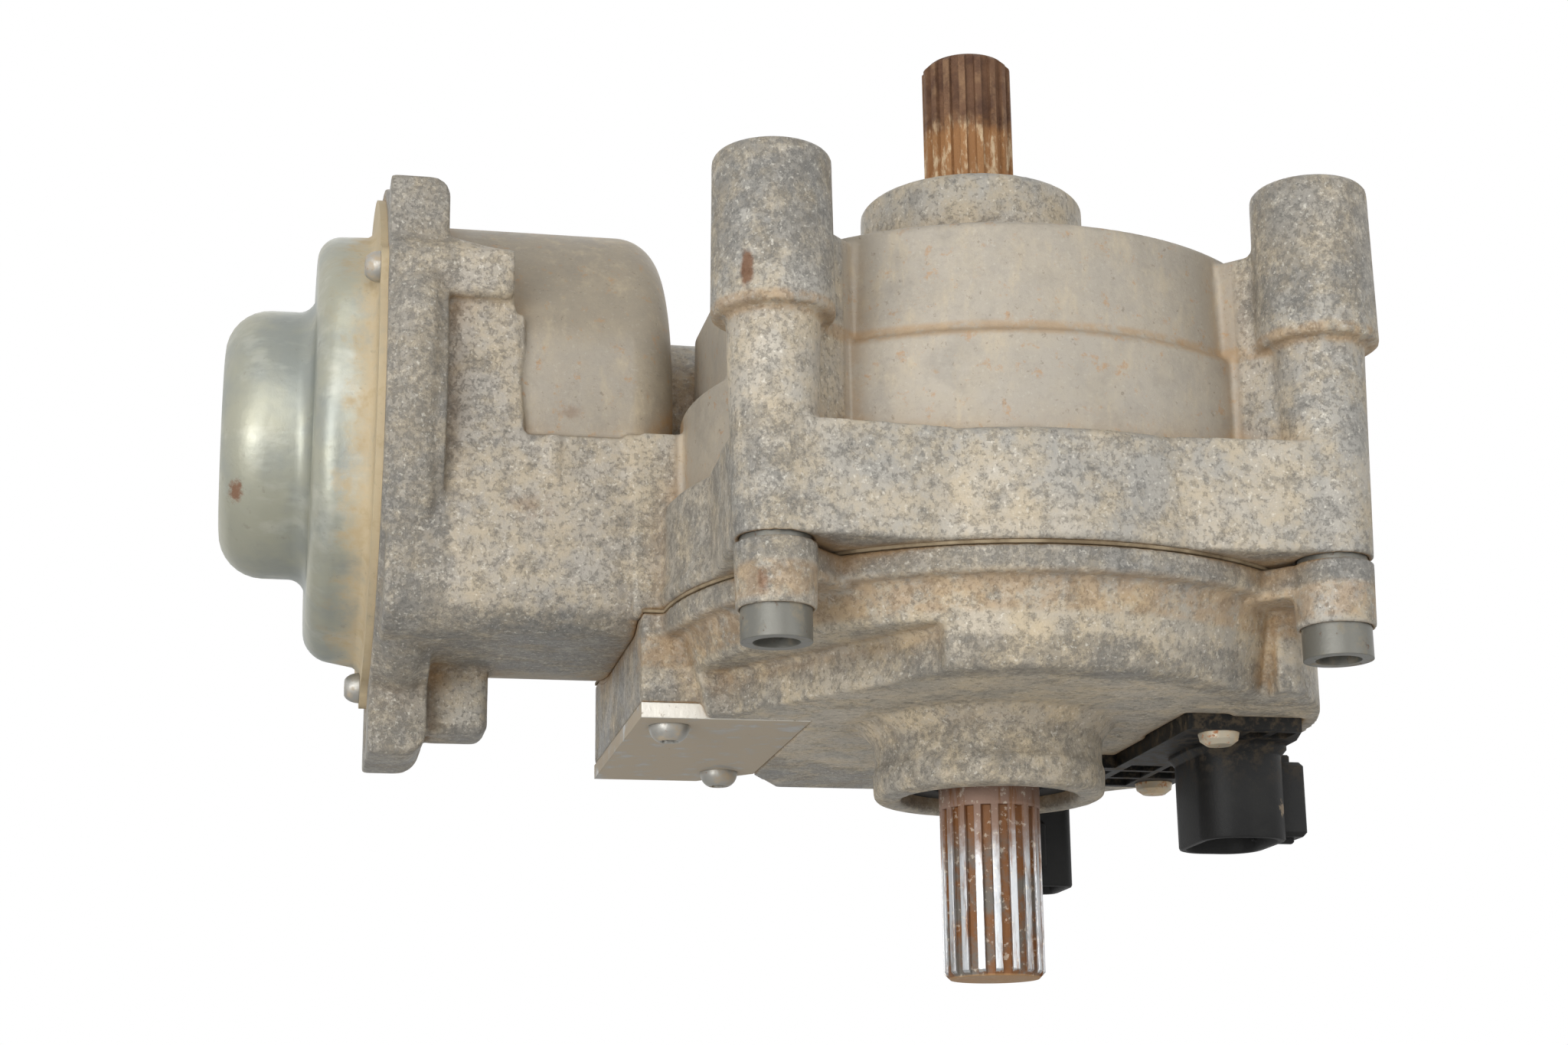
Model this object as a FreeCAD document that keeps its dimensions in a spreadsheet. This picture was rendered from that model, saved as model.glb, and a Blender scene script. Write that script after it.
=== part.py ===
import FreeCAD, Part
import math
import os
from types import SimpleNamespace
import Sketcher
from FreeCAD import Placement, Rotation, Vector

# Electric power steering unit: an input shaft and an output shaft on one upright axis, joined by a
# torsion bar, with a worm wheel on the output shaft and a motor and worm lying behind it.
# Origin: centre of the lower shaft's end face. +Z up the shaft, +X away from the motor, Y to the rear.
# Lengths are millimetres, angles degrees. Names that end in _d are diameters, _r radii, _z heights.

SIZES = {
    # levels of the casing
    "mouth_z": 35.0, "pad_z": 49.6, "drum_z": 50.0, "recess_z": 58.5, "lip_z": 66.0,
    "parting_z": 71.0, "case_top_z": 93.0, "tier_step_z": 113.0, "tier_top_z": 135.0,
    "tower_z": 148.0, "collar_z": 160.0, "gasket_t": 0.6,
    # radii of the casing about the shaft
    "case_r": 65.5, "lip_step": 3.5, "drum_draft": 4.5, "tier_two_r": 61.3, "tier_one_r": 59.6,
    "tier_draft": 0.8, "tier_flat": 56.0, "tower_r": 26.0, "collar_r": 23.2, "mouth_r": 22.3,
    "well_r": 42.0, "edge_break": 1.2, "wall": 5.0,
    # left block, rear block and worm barrel of the casing
    "block_left": 69.8, "block_front": 0.8, "block_rear": 72.0, "block_top_z": 108.0,
    "rear_right": 58.0, "rear_y": 76.0, "rear_left": 35.0, "rear_corner": 13.0,
    "worm_y": 50.0, "worm_z": 117.0, "worm_tube_r": 26.0, "worm_tube_end": 44.0,
    # motor barrel, neck and flange
    "barrel_r": 48.5, "barrel_end": 62.0, "barrel_round": 9.0, "barrel_bore_r": 44.0,
    "barrel_floor": 70.0, "neck_top_z": 107.0, "neck_low_z": 68.0, "neck_round": 10.0,
    "flange_face": 121.0, "flange_t": 12.0, "flange_r": 56.0, "flange_ear_w": 26.0,
    "flange_ear_down": 68.5, "ear_hole_d": 5.5, "ear_hole_drop": 63.2, "flange_lug_top_z": 160.5,
    "flange_lug_low_z": 139.0, "flange_lug_rear": 16.0, "lug_t": 8.5,
    "gusset_w": 15.6, "gusset_top_z": 132.5, "pan_boss_r": 7.0, "pan_boss_length": 25.0,
    "pan_boss_pitch_r": 52.5, "pan_boss_side_angle": 28.0,
    # three mounting posts with steel sleeves
    "left_post_x": 54.0, "right_post_x": 51.1, "post_y": 57.0, "rear_post_x": 54.0,
    "rear_post_y": 58.0, "post_top_z": 145.0, "post_r": 11.5, "post_waist_r": 8.7,
    "post_foot_r": 7.3, "post_foot_z": 58.5,
    "sleeve_d": 12.9, "sleeve_bore_d": 8.5, "sleeve_foot_z": 53.0,
    "web_w": 11.0,
    # shafts
    "output_spline_d": 19.8, "output_spline_teeth": 18.0, "output_spline_length": 33.0,
    "input_spline_d": 18.8, "input_spline_teeth": 17.0, "input_spline_length": 31.5,
    "spline_depth": 1.0, "shaft_top_z": 192.8, "seal_journal_d": 20.0, "spline_chamfer": 1.2,
    "wheel_seat_d": 30.0, "output_collar_d": 34.0,
    "tongue_w": 8.0, "tongue_length": 19.0, "tongue_z": 130.5, "assist_angle": 4.5,
    "bar_d": 6.0, "bar_head_d": 7.4, "bar_foot_z": 72.0, "bar_top_z": 186.0, "pin_d": 3.0,
    # bearings and seals: bore, outside and width
    "low_bearing_bore_d": 25.0, "low_bearing_d": 47.0, "low_bearing_w": 12.0,
    "high_bearing_bore_d": 30.0, "high_bearing_d": 42.0, "high_bearing_w": 7.0,
    "input_bearing_d": 32.0, "input_bearing_w": 7.0,
    "worm_bearing_bore_d": 12.0, "worm_bearing_d": 32.0, "worm_bearing_w": 10.0,
    "tail_bearing_bore_d": 10.0, "tail_bearing_d": 26.0, "tail_bearing_w": 8.0,
    "end_bearing_bore_d": 10.0, "end_bearing_d": 26.0, "end_bearing_w": 8.0,
    "low_seal_d": 35.0, "low_seal_z": 38.0, "low_seal_w": 7.0,
    "high_seal_d": 30.0, "high_seal_w": 6.0, "seal_lip": 0.05,
    # worm gear pair
    "gear_module": 2.0, "worm_starts": 2.0, "worm_pitch_d": 16.0, "wheel_teeth": 42.0,
    "wheel_w": 22.0, "gear_backlash": 0.5, "gear_root_gap": 0.5, "pressure_angle": 20.0,
    "worm_length": 40.0, "hub_d": 68.0, "hub_web_t": 10.0, "cavity_r": 52.0,
    # motor
    "stator_bore_r": 27.0, "stator_length": 32.0, "stator_end_gap": 7.0, "coil_end": 4.0,
    "rotor_r": 26.2, "magnet_t": 3.0, "rotor_length": 30.0, "motor_shaft_d": 12.0,
    "shield_t": 4.0, "slots": 12.0, "poles": 8.0, "stator_tooth_w": 6.0, "coil_t": 2.8,
    "resolver_w": 8.0, "skirt_t": 2.0,
    # pressed end cover
    "pan_t": 1.5, "pan_step_r": 45.2, "pan_step_depth": 13.5, "pan_cap_r": 28.7,
    "pan_depth": 32.0, "pan_rim_r": 53.5, "pan_round": 5.0, "pan_cap_round": 9.0,
    # underside plate and its chamber
    "plate_t": 3.0, "plate_z": 50.0, "plate_right": 36.0, "plate_corner": 11.0, "screw_d": 5.0,
    "screw_head_d": 8.2, "screw_head_t": 3.2, "pan_screw_d": 4.0, "pan_screw_head_d": 6.4,
    # connectors
    "module_t": 3.0, "module_rim_z": 47.0, "power_x": 52.5, "power_y": 5.5, "power_w": 18.0,
    "power_l": 25.0, "power_tip_z": 27.7, "signal_x": 17.0, "signal_y": 35.5, "signal_w": 18.5,
    "signal_l": 15.0, "signal_tip_z": 22.0, "shroud_t": 1.8, "module_right": 62.5,
    "module_left": 35.5, "module_front": 19.0, "module_rear": 50.0, "module_arm": 6.0,
    "module_arm_front": 26.5, "module_rear_right": 55.0,
    # board
    "board_t": 1.6, "board_z": 73.0, "board_r": 50.0, "board_hole_r": 27.0,
    # fits and running gaps
    "running_gap": 0.3, "seat_gap": 0.1,
}

doc = FreeCAD.newDocument("steering_unit")
sheet = doc.addObject("Spreadsheet::Sheet", "Sizes")
for row, (name, number) in enumerate(SIZES.items(), start=1):
    sheet.set(f"A{row}", name)
    sheet.set(f"B{row}", str(number))
    sheet.setAlias(f"B{row}", name)
doc.recompute()


class Size:
    """A number that remembers the sheet expression it comes from."""

    def __init__(self, value, text=None):
        self.value = float(value)
        self.text = text if text else repr(float(value))

    def __float__(self):
        return self.value

    def __add__(self, other):
        other = as_size(other)
        return Size(self.value + other.value, f"({self.text} + {other.text})")

    def __sub__(self, other):
        other = as_size(other)
        return Size(self.value - other.value, f"({self.text} - {other.text})")

    def __mul__(self, other):
        other = as_size(other)
        return Size(self.value * other.value, f"({self.text} * {other.text})")

    def __truediv__(self, other):
        other = as_size(other)
        return Size(self.value / other.value, f"({self.text} / {other.text})")

    def __radd__(self, other):
        return as_size(other) + self

    def __rsub__(self, other):
        return as_size(other) - self

    def __rmul__(self, other):
        return as_size(other) * self

    def __neg__(self):
        return Size(-self.value, f"(0 - {self.text})")


def as_size(number):
    return number if isinstance(number, Size) else Size(number)


S = SimpleNamespace(**{name: Size(sheet.get(name), "Sizes." + name) for name in SIZES})
TURN = {"Z": Rotation(), "X": Rotation(Vector(0, 1, 0), 90), "Y": Rotation(Vector(1, 0, 0), -90)}
nodes = {}


# Helpers: bound primitives, turned bodies and booleans

def bind(obj, prop, size):
    size = as_size(size)
    if "Sizes." in size.text:
        obj.setExpression(prop, size.text)
    else:
        setattr(obj, prop, size.value)


def place(obj, at, along="Z", spin=0.0):
    turn = TURN[along].multiply(Rotation(Vector(0, 0, 1), float(spin)))
    obj.Placement = Placement(Vector(*[float(c) for c in at]), turn)
    for letter, value in zip("xyz", at):
        if "Sizes." in as_size(value).text:
            obj.setExpression(f"Placement.Base.{letter}", as_size(value).text)
    return obj


def new(kind, name):
    return doc.addObject(kind, name)


def cylinder(name, radius, height, at=(0, 0, 0), along="Z"):
    obj = new("Part::Cylinder", name)
    bind(obj, "Radius", radius)
    bind(obj, "Height", height)
    return place(obj, at, along)


def box(name, low, high):
    obj = new("Part::Box", name)
    for prop, a, b in zip(("Length", "Width", "Height"), low, high):
        bind(obj, prop, as_size(b) - as_size(a))
    return place(obj, low)


def fuse(name, shapes):
    obj = new("Part::MultiFuse", name)
    obj.Shapes = shapes
    return obj


def cut(name, base, tools):
    obj = new("Part::Cut", name)
    obj.Base = base
    obj.Tool = tools[0] if len(tools) == 1 else fuse(name + "_tools", tools)
    return obj


def common(name, shapes):
    obj = new("Part::MultiCommon", name)
    obj.Shapes = shapes
    return obj


def group(name, shapes):
    obj = new("Part::Compound", name)
    obj.Links = shapes
    return obj


def rounded(name, base, radius, chosen):
    """Fillet the edges of base for which chosen(edge) is true."""
    doc.recompute([base])
    doc.recompute()
    obj = new("Part::Fillet", name)
    obj.Base = base
    r = float(radius)
    obj.Edges = [(i, r, r) for i, edge in enumerate(base.Shape.Edges, start=1) if chosen(edge)]
    return obj


def origin_plane(body, role):
    return next(f for f in body.Origin.OriginFeatures if f.Role == role)


def outline(body, name, role, points, lift=0):
    """Closed sketch of straight lines whose corners are bound to the sheet."""
    sketch = body.newObject("Sketcher::SketchObject", name)
    sketch.AttachmentSupport = [(origin_plane(body, role), "")]
    sketch.MapMode = "FlatFace"
    if float(lift):
        sketch.setExpression("AttachmentOffset.Base.z", as_size(lift).text)
    corners = [Vector(float(a), float(b), 0) for a, b in points]
    count = len(corners)
    for i in range(count):
        sketch.addGeometry(Part.LineSegment(corners[i], corners[(i + 1) % count]), False)
    for i in range(count):
        sketch.addConstraint(Sketcher.Constraint("Coincident", i, 2, (i + 1) % count, 1))
    for i, point in enumerate(points):
        for kind, value in zip(("DistanceX", "DistanceY"), point):
            spot = sketch.addConstraint(Sketcher.Constraint(kind, -1, 1, i, 1, float(value)))
            if "Sizes." in as_size(value).text:
                sketch.setExpression(f"Constraints[{spot}]", as_size(value).text)
    return sketch


def turned(name, profile, at=(0, 0, 0), along="Z"):
    """Body of revolution; profile lists (radius, height) corners."""
    body = new("PartDesign::Body", name)
    sketch = outline(body, name + "_profile", "XZ_Plane", profile)
    turn = body.newObject("PartDesign::Revolution", name + "_turn")
    turn.Profile = sketch
    turn.ReferenceAxis = (sketch, ["V_Axis"])
    turn.Angle = 360
    body.Tip = turn
    return place(body, at, along)


def ring(name, inner_r, outer_r, low, high, at=(0, 0, 0), along="Z"):
    corners = [(inner_r, low), (outer_r, low), (outer_r, high), (inner_r, high)]
    return turned(name, corners, at, along)


def padded(name, points, low, height, role="XY_Plane"):
    """Straight-sided body raised from a sheet-bound outline."""
    body = new("PartDesign::Body", name)
    sketch = outline(body, name + "_outline", role, points, low)
    pad = body.newObject("PartDesign::Pad", name + "_pad")
    pad.Profile = sketch
    bind(pad, "Length", height)
    body.Tip = pad
    return body


def keep(node_name, obj):
    """Name obj as one of the unit's pieces."""
    obj.Label = node_name
    nodes[node_name] = obj
    return obj


# Shafts

def splined(name, profile, tip_r, teeth, low, length):
    """Turned shaft with straight grooves sunk between evenly spaced teeth."""
    body = turned(name, profile)
    half = math.radians(90.0 / teeth)
    root = float(tip_r) - float(S.spline_depth)
    over = float(tip_r) + 1.0
    corners = [(-root * math.sin(half), root * math.cos(half)),
               (root * math.sin(half), root * math.cos(half)),
               (over * math.sin(1.35 * half), over * math.cos(half)),
               (-over * math.sin(1.35 * half), over * math.cos(half))]
    sketch = outline(body, name + "_groove", "XY_Plane", corners, low)
    groove = body.newObject("PartDesign::Pocket", name + "_pocket")
    groove.Profile = sketch
    groove.Reversed = True
    bind(groove, "Length", length)
    pattern = body.newObject("PartDesign::PolarPattern", name + "_teeth")
    pattern.Originals = [groove]
    pattern.Axis = (sketch, ["N_Axis"])
    pattern.Angle = 360
    pattern.Occurrences = int(teeth)
    body.Tip = pattern
    return body


journal_r = S.seal_journal_d / 2
bearing_low_z = S.drum_z + 2.0
bearing_low_top = bearing_low_z + S.low_bearing_w
hub_low = S.worm_z - S.hub_web_t
hub_top = S.worm_z + S.wheel_w / 2 + 3.0
bearing_high_top = hub_top + S.high_bearing_w
sensor_top = bearing_high_top + 8.0
input_bearing_top = sensor_top + S.input_bearing_w
tongue_top = bearing_high_top + 3.3
bar_bore_r = S.bar_head_d / 2 + S.running_gap

out_r = S.output_spline_d / 2
wheel_seat_r = S.wheel_seat_d / 2
output_top = tongue_top - S.running_gap
output_turned = splined("output_turned", [
    (0, 0), (out_r - S.spline_chamfer, 0), (out_r, S.spline_chamfer),
    (out_r, S.output_spline_length), (journal_r, S.output_spline_length + 0.5),
    (journal_r, bearing_low_z), (S.low_bearing_bore_d / 2, bearing_low_z),
    (S.low_bearing_bore_d / 2, bearing_low_top), (S.output_collar_d / 2, bearing_low_top + 1.5),
    (S.output_collar_d / 2, hub_low), (wheel_seat_r, hub_low),
    (wheel_seat_r, bearing_high_top), (wheel_seat_r - 1.0, bearing_high_top),
    (wheel_seat_r - 1.0, output_top), (0, output_top)],
    out_r, float(S.output_spline_teeth), 0, S.output_spline_length)

tongue_r = S.tongue_length / 2
angle = math.radians(float(S.assist_angle))
slot_w = S.tongue_w * math.cos(angle) + S.tongue_length * math.sin(angle) + 2 * S.running_gap
slot_low = S.tongue_z - S.running_gap
slot_box = box("tongue_slot_box", (-S.tongue_length, -slot_w / 2, slot_low),
               (S.tongue_length, slot_w / 2, S.collar_z))
slot_round = cylinder("tongue_slot_round", tongue_r + S.running_gap, S.collar_z - slot_low,
                      (0, 0, slot_low))
bar_bore = cylinder("bar_bore", bar_bore_r, S.collar_z - S.bar_foot_z + 1.0,
                    (0, 0, S.bar_foot_z - 1.0))
keep("output_shaft", cut("output_shaft_cut", output_turned,
                         [common("tongue_slot", [slot_box, slot_round]), bar_bore]))

in_r = S.input_spline_d / 2
spline_in_low = S.shaft_top_z - S.input_spline_length
input_turned = splined("input_turned", [
    (0, tongue_top), (journal_r, tongue_top), (journal_r, spline_in_low - 0.5),
    (in_r, spline_in_low), (in_r, S.shaft_top_z - S.spline_chamfer),
    (in_r - S.spline_chamfer, S.shaft_top_z), (0, S.shaft_top_z)],
    in_r, float(S.input_spline_teeth), spline_in_low, S.input_spline_length)
tongue_box = box("tongue_box", (-S.tongue_length, -S.tongue_w / 2, S.tongue_z),
                 (S.tongue_length, S.tongue_w / 2, tongue_top + 1.0))
tongue_round = cylinder("tongue_round", tongue_r, tongue_top + 1.0 - S.tongue_z,
                        (0, 0, S.tongue_z))
input_solid = fuse("input_solid", [input_turned, common("tongue", [tongue_box, tongue_round])])
input_bore = cylinder("input_bore", bar_bore_r, S.bar_top_z + S.running_gap - S.tongue_z + 1.0,
                      (0, 0, S.tongue_z - 1.0))
pin_z = sensor_top + S.input_bearing_w / 2
pin_hole = cylinder("pin_hole", S.pin_d / 2, S.seal_journal_d + 4.0,
                    (-journal_r - 2.0, 0, pin_z), "X")
keep("input_shaft", cut("input_shaft_cut", input_solid, [input_bore, pin_hole]))

bar_r = S.bar_d / 2
head_r = S.bar_head_d / 2
head = 10.0
bar_top = input_bearing_top + 2.0
bar_turned = turned("bar_turned", [
    (0, S.bar_foot_z), (head_r, S.bar_foot_z), (head_r, S.bar_foot_z + head),
    (bar_r, S.bar_foot_z + head + 2.0), (bar_r, sensor_top - 4.0), (head_r, sensor_top - 2.0),
    (head_r, bar_top), (0, bar_top)])
bar_pin_hole = cylinder("bar_pin_hole", S.pin_d / 2, S.bar_head_d + 4.0,
                        (-head_r - 2.0, 0, pin_z), "X")
keep("torsion_bar", cut("torsion_bar_cut", bar_turned, [bar_pin_hole]))
keep("torsion_bar_pin", cylinder("torsion_bar_pin_solid", S.pin_d / 2, S.seal_journal_d - 0.4,
                                 (-journal_r + 0.2, 0, pin_z), "X"))


# Worm wheel: steel hub and moulded rim with slanted teeth

rim_inner_r = S.hub_d / 2
wheel_low = S.worm_z - S.wheel_w / 2
hub_r = wheel_seat_r + 6.0
web_low = S.worm_z - S.hub_web_t / 2
web_top = S.worm_z + S.hub_web_t / 2
keep("wheel_hub", turned("wheel_hub_body", [
    (wheel_seat_r, hub_low), (hub_r, hub_low), (hub_r, web_low), (rim_inner_r - 4.0, web_low),
    (rim_inner_r - 4.0, wheel_low), (rim_inner_r, wheel_low), (rim_inner_r, wheel_low + S.wheel_w),
    (rim_inner_r - 4.0, wheel_low + S.wheel_w), (rim_inner_r - 4.0, web_top), (hub_r, web_top),
    (hub_r, hub_top), (wheel_seat_r, hub_top)]))

module = float(S.gear_module)
wheel_pitch_r = module * float(S.wheel_teeth) / 2
worm_pitch_r = float(S.worm_pitch_d) / 2
lead = math.pi * module * float(S.worm_starts)
tooth_slant = lead / (2 * math.pi * worm_pitch_r)
half_tooth = math.pi * module / 4 - float(S.gear_backlash) / 4
flank = math.tan(math.radians(float(S.pressure_angle)))


def tooth_half_width(rise):
    """Half the tooth's thickness at a height above the pitch line."""
    return half_tooth - rise * flank


def wheel_outline(z):
    """Closed wire of the wheel's teeth at height z, turned by the slant of the teeth."""
    teeth = int(float(S.wheel_teeth))
    root = wheel_pitch_r - module - float(S.gear_root_gap)
    tip = wheel_pitch_r + module
    turn = math.pi / 2 + (z - float(S.worm_z)) * tooth_slant / wheel_pitch_r
    points = []
    for tooth in range(teeth):
        middle = turn + (tooth + 0.5) * 2 * math.pi / teeth
        for side in (-1, 1):
            flanks = [(root, tooth_half_width(root - wheel_pitch_r)),
                      (tip, tooth_half_width(module) + 0.12)]
            for radius, half in flanks[::-side]:
                swing = middle + side * half / wheel_pitch_r
                points.append(Vector(radius * math.cos(swing), radius * math.sin(swing), z))
    return Part.makePolygon(points + points[:1])


def wheel_rim():
    low = float(wheel_low)
    width = float(S.wheel_w)
    wires = [wheel_outline(low + width * i / 2) for i in range(3)]
    rim = Part.makeLoft(wires, True, True)
    bore = Part.makeCylinder(float(rim_inner_r), width + 2, Vector(0, 0, low - 1))
    return rim.cut(bore)


def shaped(name, shape):
    obj = new("Part::Feature", name)
    obj.Shape = shape
    return obj


keep("wheel_rim", shaped("wheel_rim_solid", wheel_rim()))


# Worm, cut as two threads on the motor's shaft

worm_root_r = S.worm_pitch_d / 2 - S.gear_module - S.gear_root_gap
tail_bearing_x = S.worm_length / 2 + 8.0
tail_end = tail_bearing_x + S.tail_bearing_w
head_bearing_x = S.barrel_floor - S.worm_bearing_w
motor_shaft_r = S.motor_shaft_d / 2
end_journal_r = S.end_bearing_bore_d / 2
end_bearing_x = S.flange_face + 1.0
end_bearing_back = end_bearing_x + S.end_bearing_w
resolver_face = end_bearing_back + 3.5
resolver_back = resolver_face + S.resolver_w
shaft_end = resolver_back + 3.0


def thread(start):
    """One thread: its trapezium swept along a helix, set to meet a gap of the wheel at x = 0."""
    radius = float(worm_root_r) - 0.4
    length = float(S.worm_length)
    turns_back = math.ceil(length / 2 / lead) + 0.75
    helix = Part.makeHelix(lead, length + 2 * lead, radius)
    rises = (radius - worm_pitch_r, module)
    corners = [Vector(worm_pitch_r + rise, 0, side * tooth_half_width(rise))
               for rise, side in ((rises[0], -1), (rises[1], -1), (rises[1], 1), (rises[0], 1))]
    profile = Part.makePolygon(corners + corners[:1])
    sweep = Part.Wire(helix).makePipeShell([profile], True, True)
    sweep.rotate(Vector(0, 0, 0), Vector(0, 0, 1), start * 360.0 / float(S.worm_starts))
    sweep.translate(Vector(0, 0, -turns_back * lead))
    return sweep


def worm_thread():
    length = float(S.worm_length)
    threads = [thread(i) for i in range(int(float(S.worm_starts)))]
    trim = Part.makeCylinder(worm_pitch_r + module + 1, length, Vector(0, 0, -length / 2))
    core = Part.makeCylinder(float(worm_root_r), length, Vector(0, 0, -length / 2))
    solid = core
    for piece in threads:
        solid = solid.fuse(piece.common(trim))
    return solid


WORM_AT = (0, S.worm_y, S.worm_z)
worm_solid = place(shaped("worm_threads", worm_thread()), WORM_AT, "X")
worm_turned = turned("worm_turned", [
    (0, -shaft_end), (end_journal_r, -shaft_end), (end_journal_r, -end_bearing_x + 1.0),
    (motor_shaft_r, -end_bearing_x + 1.0), (motor_shaft_r, -head_bearing_x),
    (motor_shaft_r + 2.0, -head_bearing_x), (motor_shaft_r + 2.0, -head_bearing_x + 3.0),
    (worm_root_r, -head_bearing_x + 5.0),
    (worm_root_r, S.worm_length / 2 + 4.0), (S.tail_bearing_bore_d / 2 + 1.5, tail_bearing_x - 1.0),
    (S.tail_bearing_bore_d / 2 + 1.5, tail_bearing_x),
    (S.tail_bearing_bore_d / 2, tail_bearing_x), (S.tail_bearing_bore_d / 2, tail_end - 0.5),
    (0, tail_end - 0.5)], WORM_AT, "X")
keep("worm_shaft", fuse("worm_shaft_solid", [worm_turned, worm_solid]))


# Bearings and seals

def bearing(name, bore_d, outer_d, width, at, along="Z", balls=7):
    """Outer ring, inner ring and balls, each a piece of its own."""
    bore_r = bore_d / 2
    outer_r = outer_d / 2
    land = (outer_r - bore_r) * 0.3
    keep(name + "_outer", ring(name + "_outer_ring", outer_r - land, outer_r, 0, width, at, along))
    keep(name + "_inner", ring(name + "_inner_ring", bore_r, bore_r + land, 0, width, at, along))
    pitch = float(bore_r + outer_r) / 2
    ball_r = float(outer_r - bore_r) * 0.2 - float(S.running_gap) / 2
    solids = []
    for i in range(balls):
        swing = 2 * math.pi * i / balls
        solids.append(Part.makeSphere(ball_r, Vector(pitch * math.cos(swing),
                                                     pitch * math.sin(swing), float(width) / 2)))
    keep(name + "_balls", place(shaped(name + "_ball_set", Part.makeCompound(solids)), at, along))


bearing("lower_bearing", S.low_bearing_bore_d, S.low_bearing_d, S.low_bearing_w,
        (0, 0, bearing_low_z))
bearing("upper_bearing", S.high_bearing_bore_d, S.high_bearing_d, S.high_bearing_w,
        (0, 0, hub_top))
bearing("input_bearing", S.seal_journal_d, S.input_bearing_d, S.input_bearing_w,
        (0, 0, sensor_top))
bearing("worm_bearing", S.worm_bearing_bore_d, S.worm_bearing_d, S.worm_bearing_w,
        (-S.barrel_floor, S.worm_y, S.worm_z), "X")
bearing("worm_tail_bearing", S.tail_bearing_bore_d, S.tail_bearing_d, S.tail_bearing_w,
        (tail_bearing_x, S.worm_y, S.worm_z), "X")
bearing("motor_bearing", S.end_bearing_bore_d, S.end_bearing_d, S.end_bearing_w,
        (-end_bearing_x - S.end_bearing_w, S.worm_y, S.worm_z), "X")


def lip_seal(name, shaft_r, outer_r, low, width):
    """Rubber ring with a thin lip that leans on the shaft."""
    lip_r = shaft_r + S.seal_lip
    high = low + width
    keep(name, turned(name + "_body", [
        (outer_r, low), (outer_r, high), (lip_r + 1.5, high), (lip_r + 1.5, high - 1.5),
        (outer_r - 2.0, high - 1.5), (outer_r - 2.0, low + 2.0), (lip_r + 1.2, low + 3.2),
        (lip_r, low + 2.6), (lip_r + 0.8, low + 1.0), (lip_r + 1.6, low)]))


lip_seal("lower_seal", journal_r, S.low_seal_d / 2, S.low_seal_z, S.low_seal_w)
high_seal_z = input_bearing_top + 0.5
lip_seal("upper_seal", journal_r, S.high_seal_d / 2, high_seal_z, S.high_seal_w)
clip_z = bearing_low_top
keep("lower_bearing_clip", ring("lower_clip_ring", S.low_bearing_d / 2 - 2.5,
                                S.low_bearing_d / 2 + 1.3, clip_z, clip_z + 1.4))


# Mounting posts, shared by both castings

base_z = S.parting_z + S.gasket_t
POSTS = {
    "front_left": (-S.left_post_x, -S.post_y),
    "front_right": (S.right_post_x, -S.post_y),
    "rear_right": (S.rear_post_x, S.rear_post_y),
}


def post_radius(z):
    """Radius of a post's tapering lower part at height z."""
    share = (z - S.post_foot_z) / (S.tier_step_z - S.post_foot_z)
    return S.post_foot_r + (S.post_waist_r - S.post_foot_r) * share


def upper_post(name, x, y):
    return turned(name, [
        (0, base_z), (post_radius(base_z), base_z), (S.post_waist_r, S.tier_step_z),
        (S.post_r, S.tier_step_z), (S.post_r - 0.4, S.post_top_z - S.edge_break),
        (S.post_r - 0.4 - S.edge_break, S.post_top_z), (0, S.post_top_z)], (x, y, 0))


def lower_post(name, x, y):
    return turned(name, [
        (0, S.post_foot_z), (S.post_foot_r - 0.4, S.post_foot_z),
        (S.post_foot_r, S.post_foot_z + 0.4), (post_radius(S.parting_z), S.parting_z),
        (0, S.parting_z)], (x, y, 0))


def radial_box(name, x, y, width, low, high, reach=0.0):
    """Upright web from the shaft's axis out to a post, reach short of its centre."""
    length = math.hypot(float(x), float(y)) - reach
    swing = math.degrees(math.atan2(float(y), float(x)))
    obj = new("Part::Box", name)
    bind(obj, "Width", width)
    bind(obj, "Height", high - low)
    obj.Length = length
    turn = Rotation(Vector(0, 0, 1), swing)
    corner = turn.multVec(Vector(0, -float(width) / 2, 0))
    obj.Placement = Placement(Vector(corner.x, corner.y, float(low)), turn)
    return obj


def flared_web(name, x, y, low, high):
    """Web as wide as a post at the post, widening to run into the round case."""
    angle = math.atan2(float(y), float(x))
    corners = []
    for side in (1, -1):
        on_case = angle + side * math.radians(24)
        on_post = angle + side * math.radians(48)
        corner = [(S.case_r * (0.998 * math.cos(on_case)), S.case_r * (0.998 * math.sin(on_case))),
                  (x + S.post_foot_r * math.cos(on_post), y + S.post_foot_r * math.sin(on_post))]
        corners += corner[::side]
    return padded(name, corners, low, high - low)


# Main casting: case, tiers, collar, posts, worm barrel, motor barrel and flange

drum = turned("housing_drum", [
    (0, base_z), (S.case_r, base_z), (S.case_r, S.case_top_z - S.edge_break),
    (S.case_r - S.edge_break, S.case_top_z), (S.tier_two_r, S.case_top_z),
    (S.tier_two_r, S.tier_step_z - 0.6), (S.tier_two_r - 0.6, S.tier_step_z),
    (S.tier_one_r, S.tier_step_z), (S.tier_one_r - S.tier_draft, S.tier_top_z - 0.6),
    (S.tier_one_r - S.tier_draft - 0.6, S.tier_top_z), (S.tower_r + 3.0, S.tier_top_z),
    (S.tower_r, S.tower_z), (S.collar_r, S.tower_z), (S.collar_r, S.collar_z - S.edge_break),
    (S.collar_r - S.edge_break, S.collar_z), (0, S.collar_z)])
tier_trim = box("tier_trim", (-S.tier_one_r - 1.0, -36.0, S.tier_step_z),
                (-S.tier_flat, S.worm_y - S.worm_tube_r - 2.0, S.tier_top_z + 1.0))
round_case = cut("round_case", drum, [tier_trim])


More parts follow.
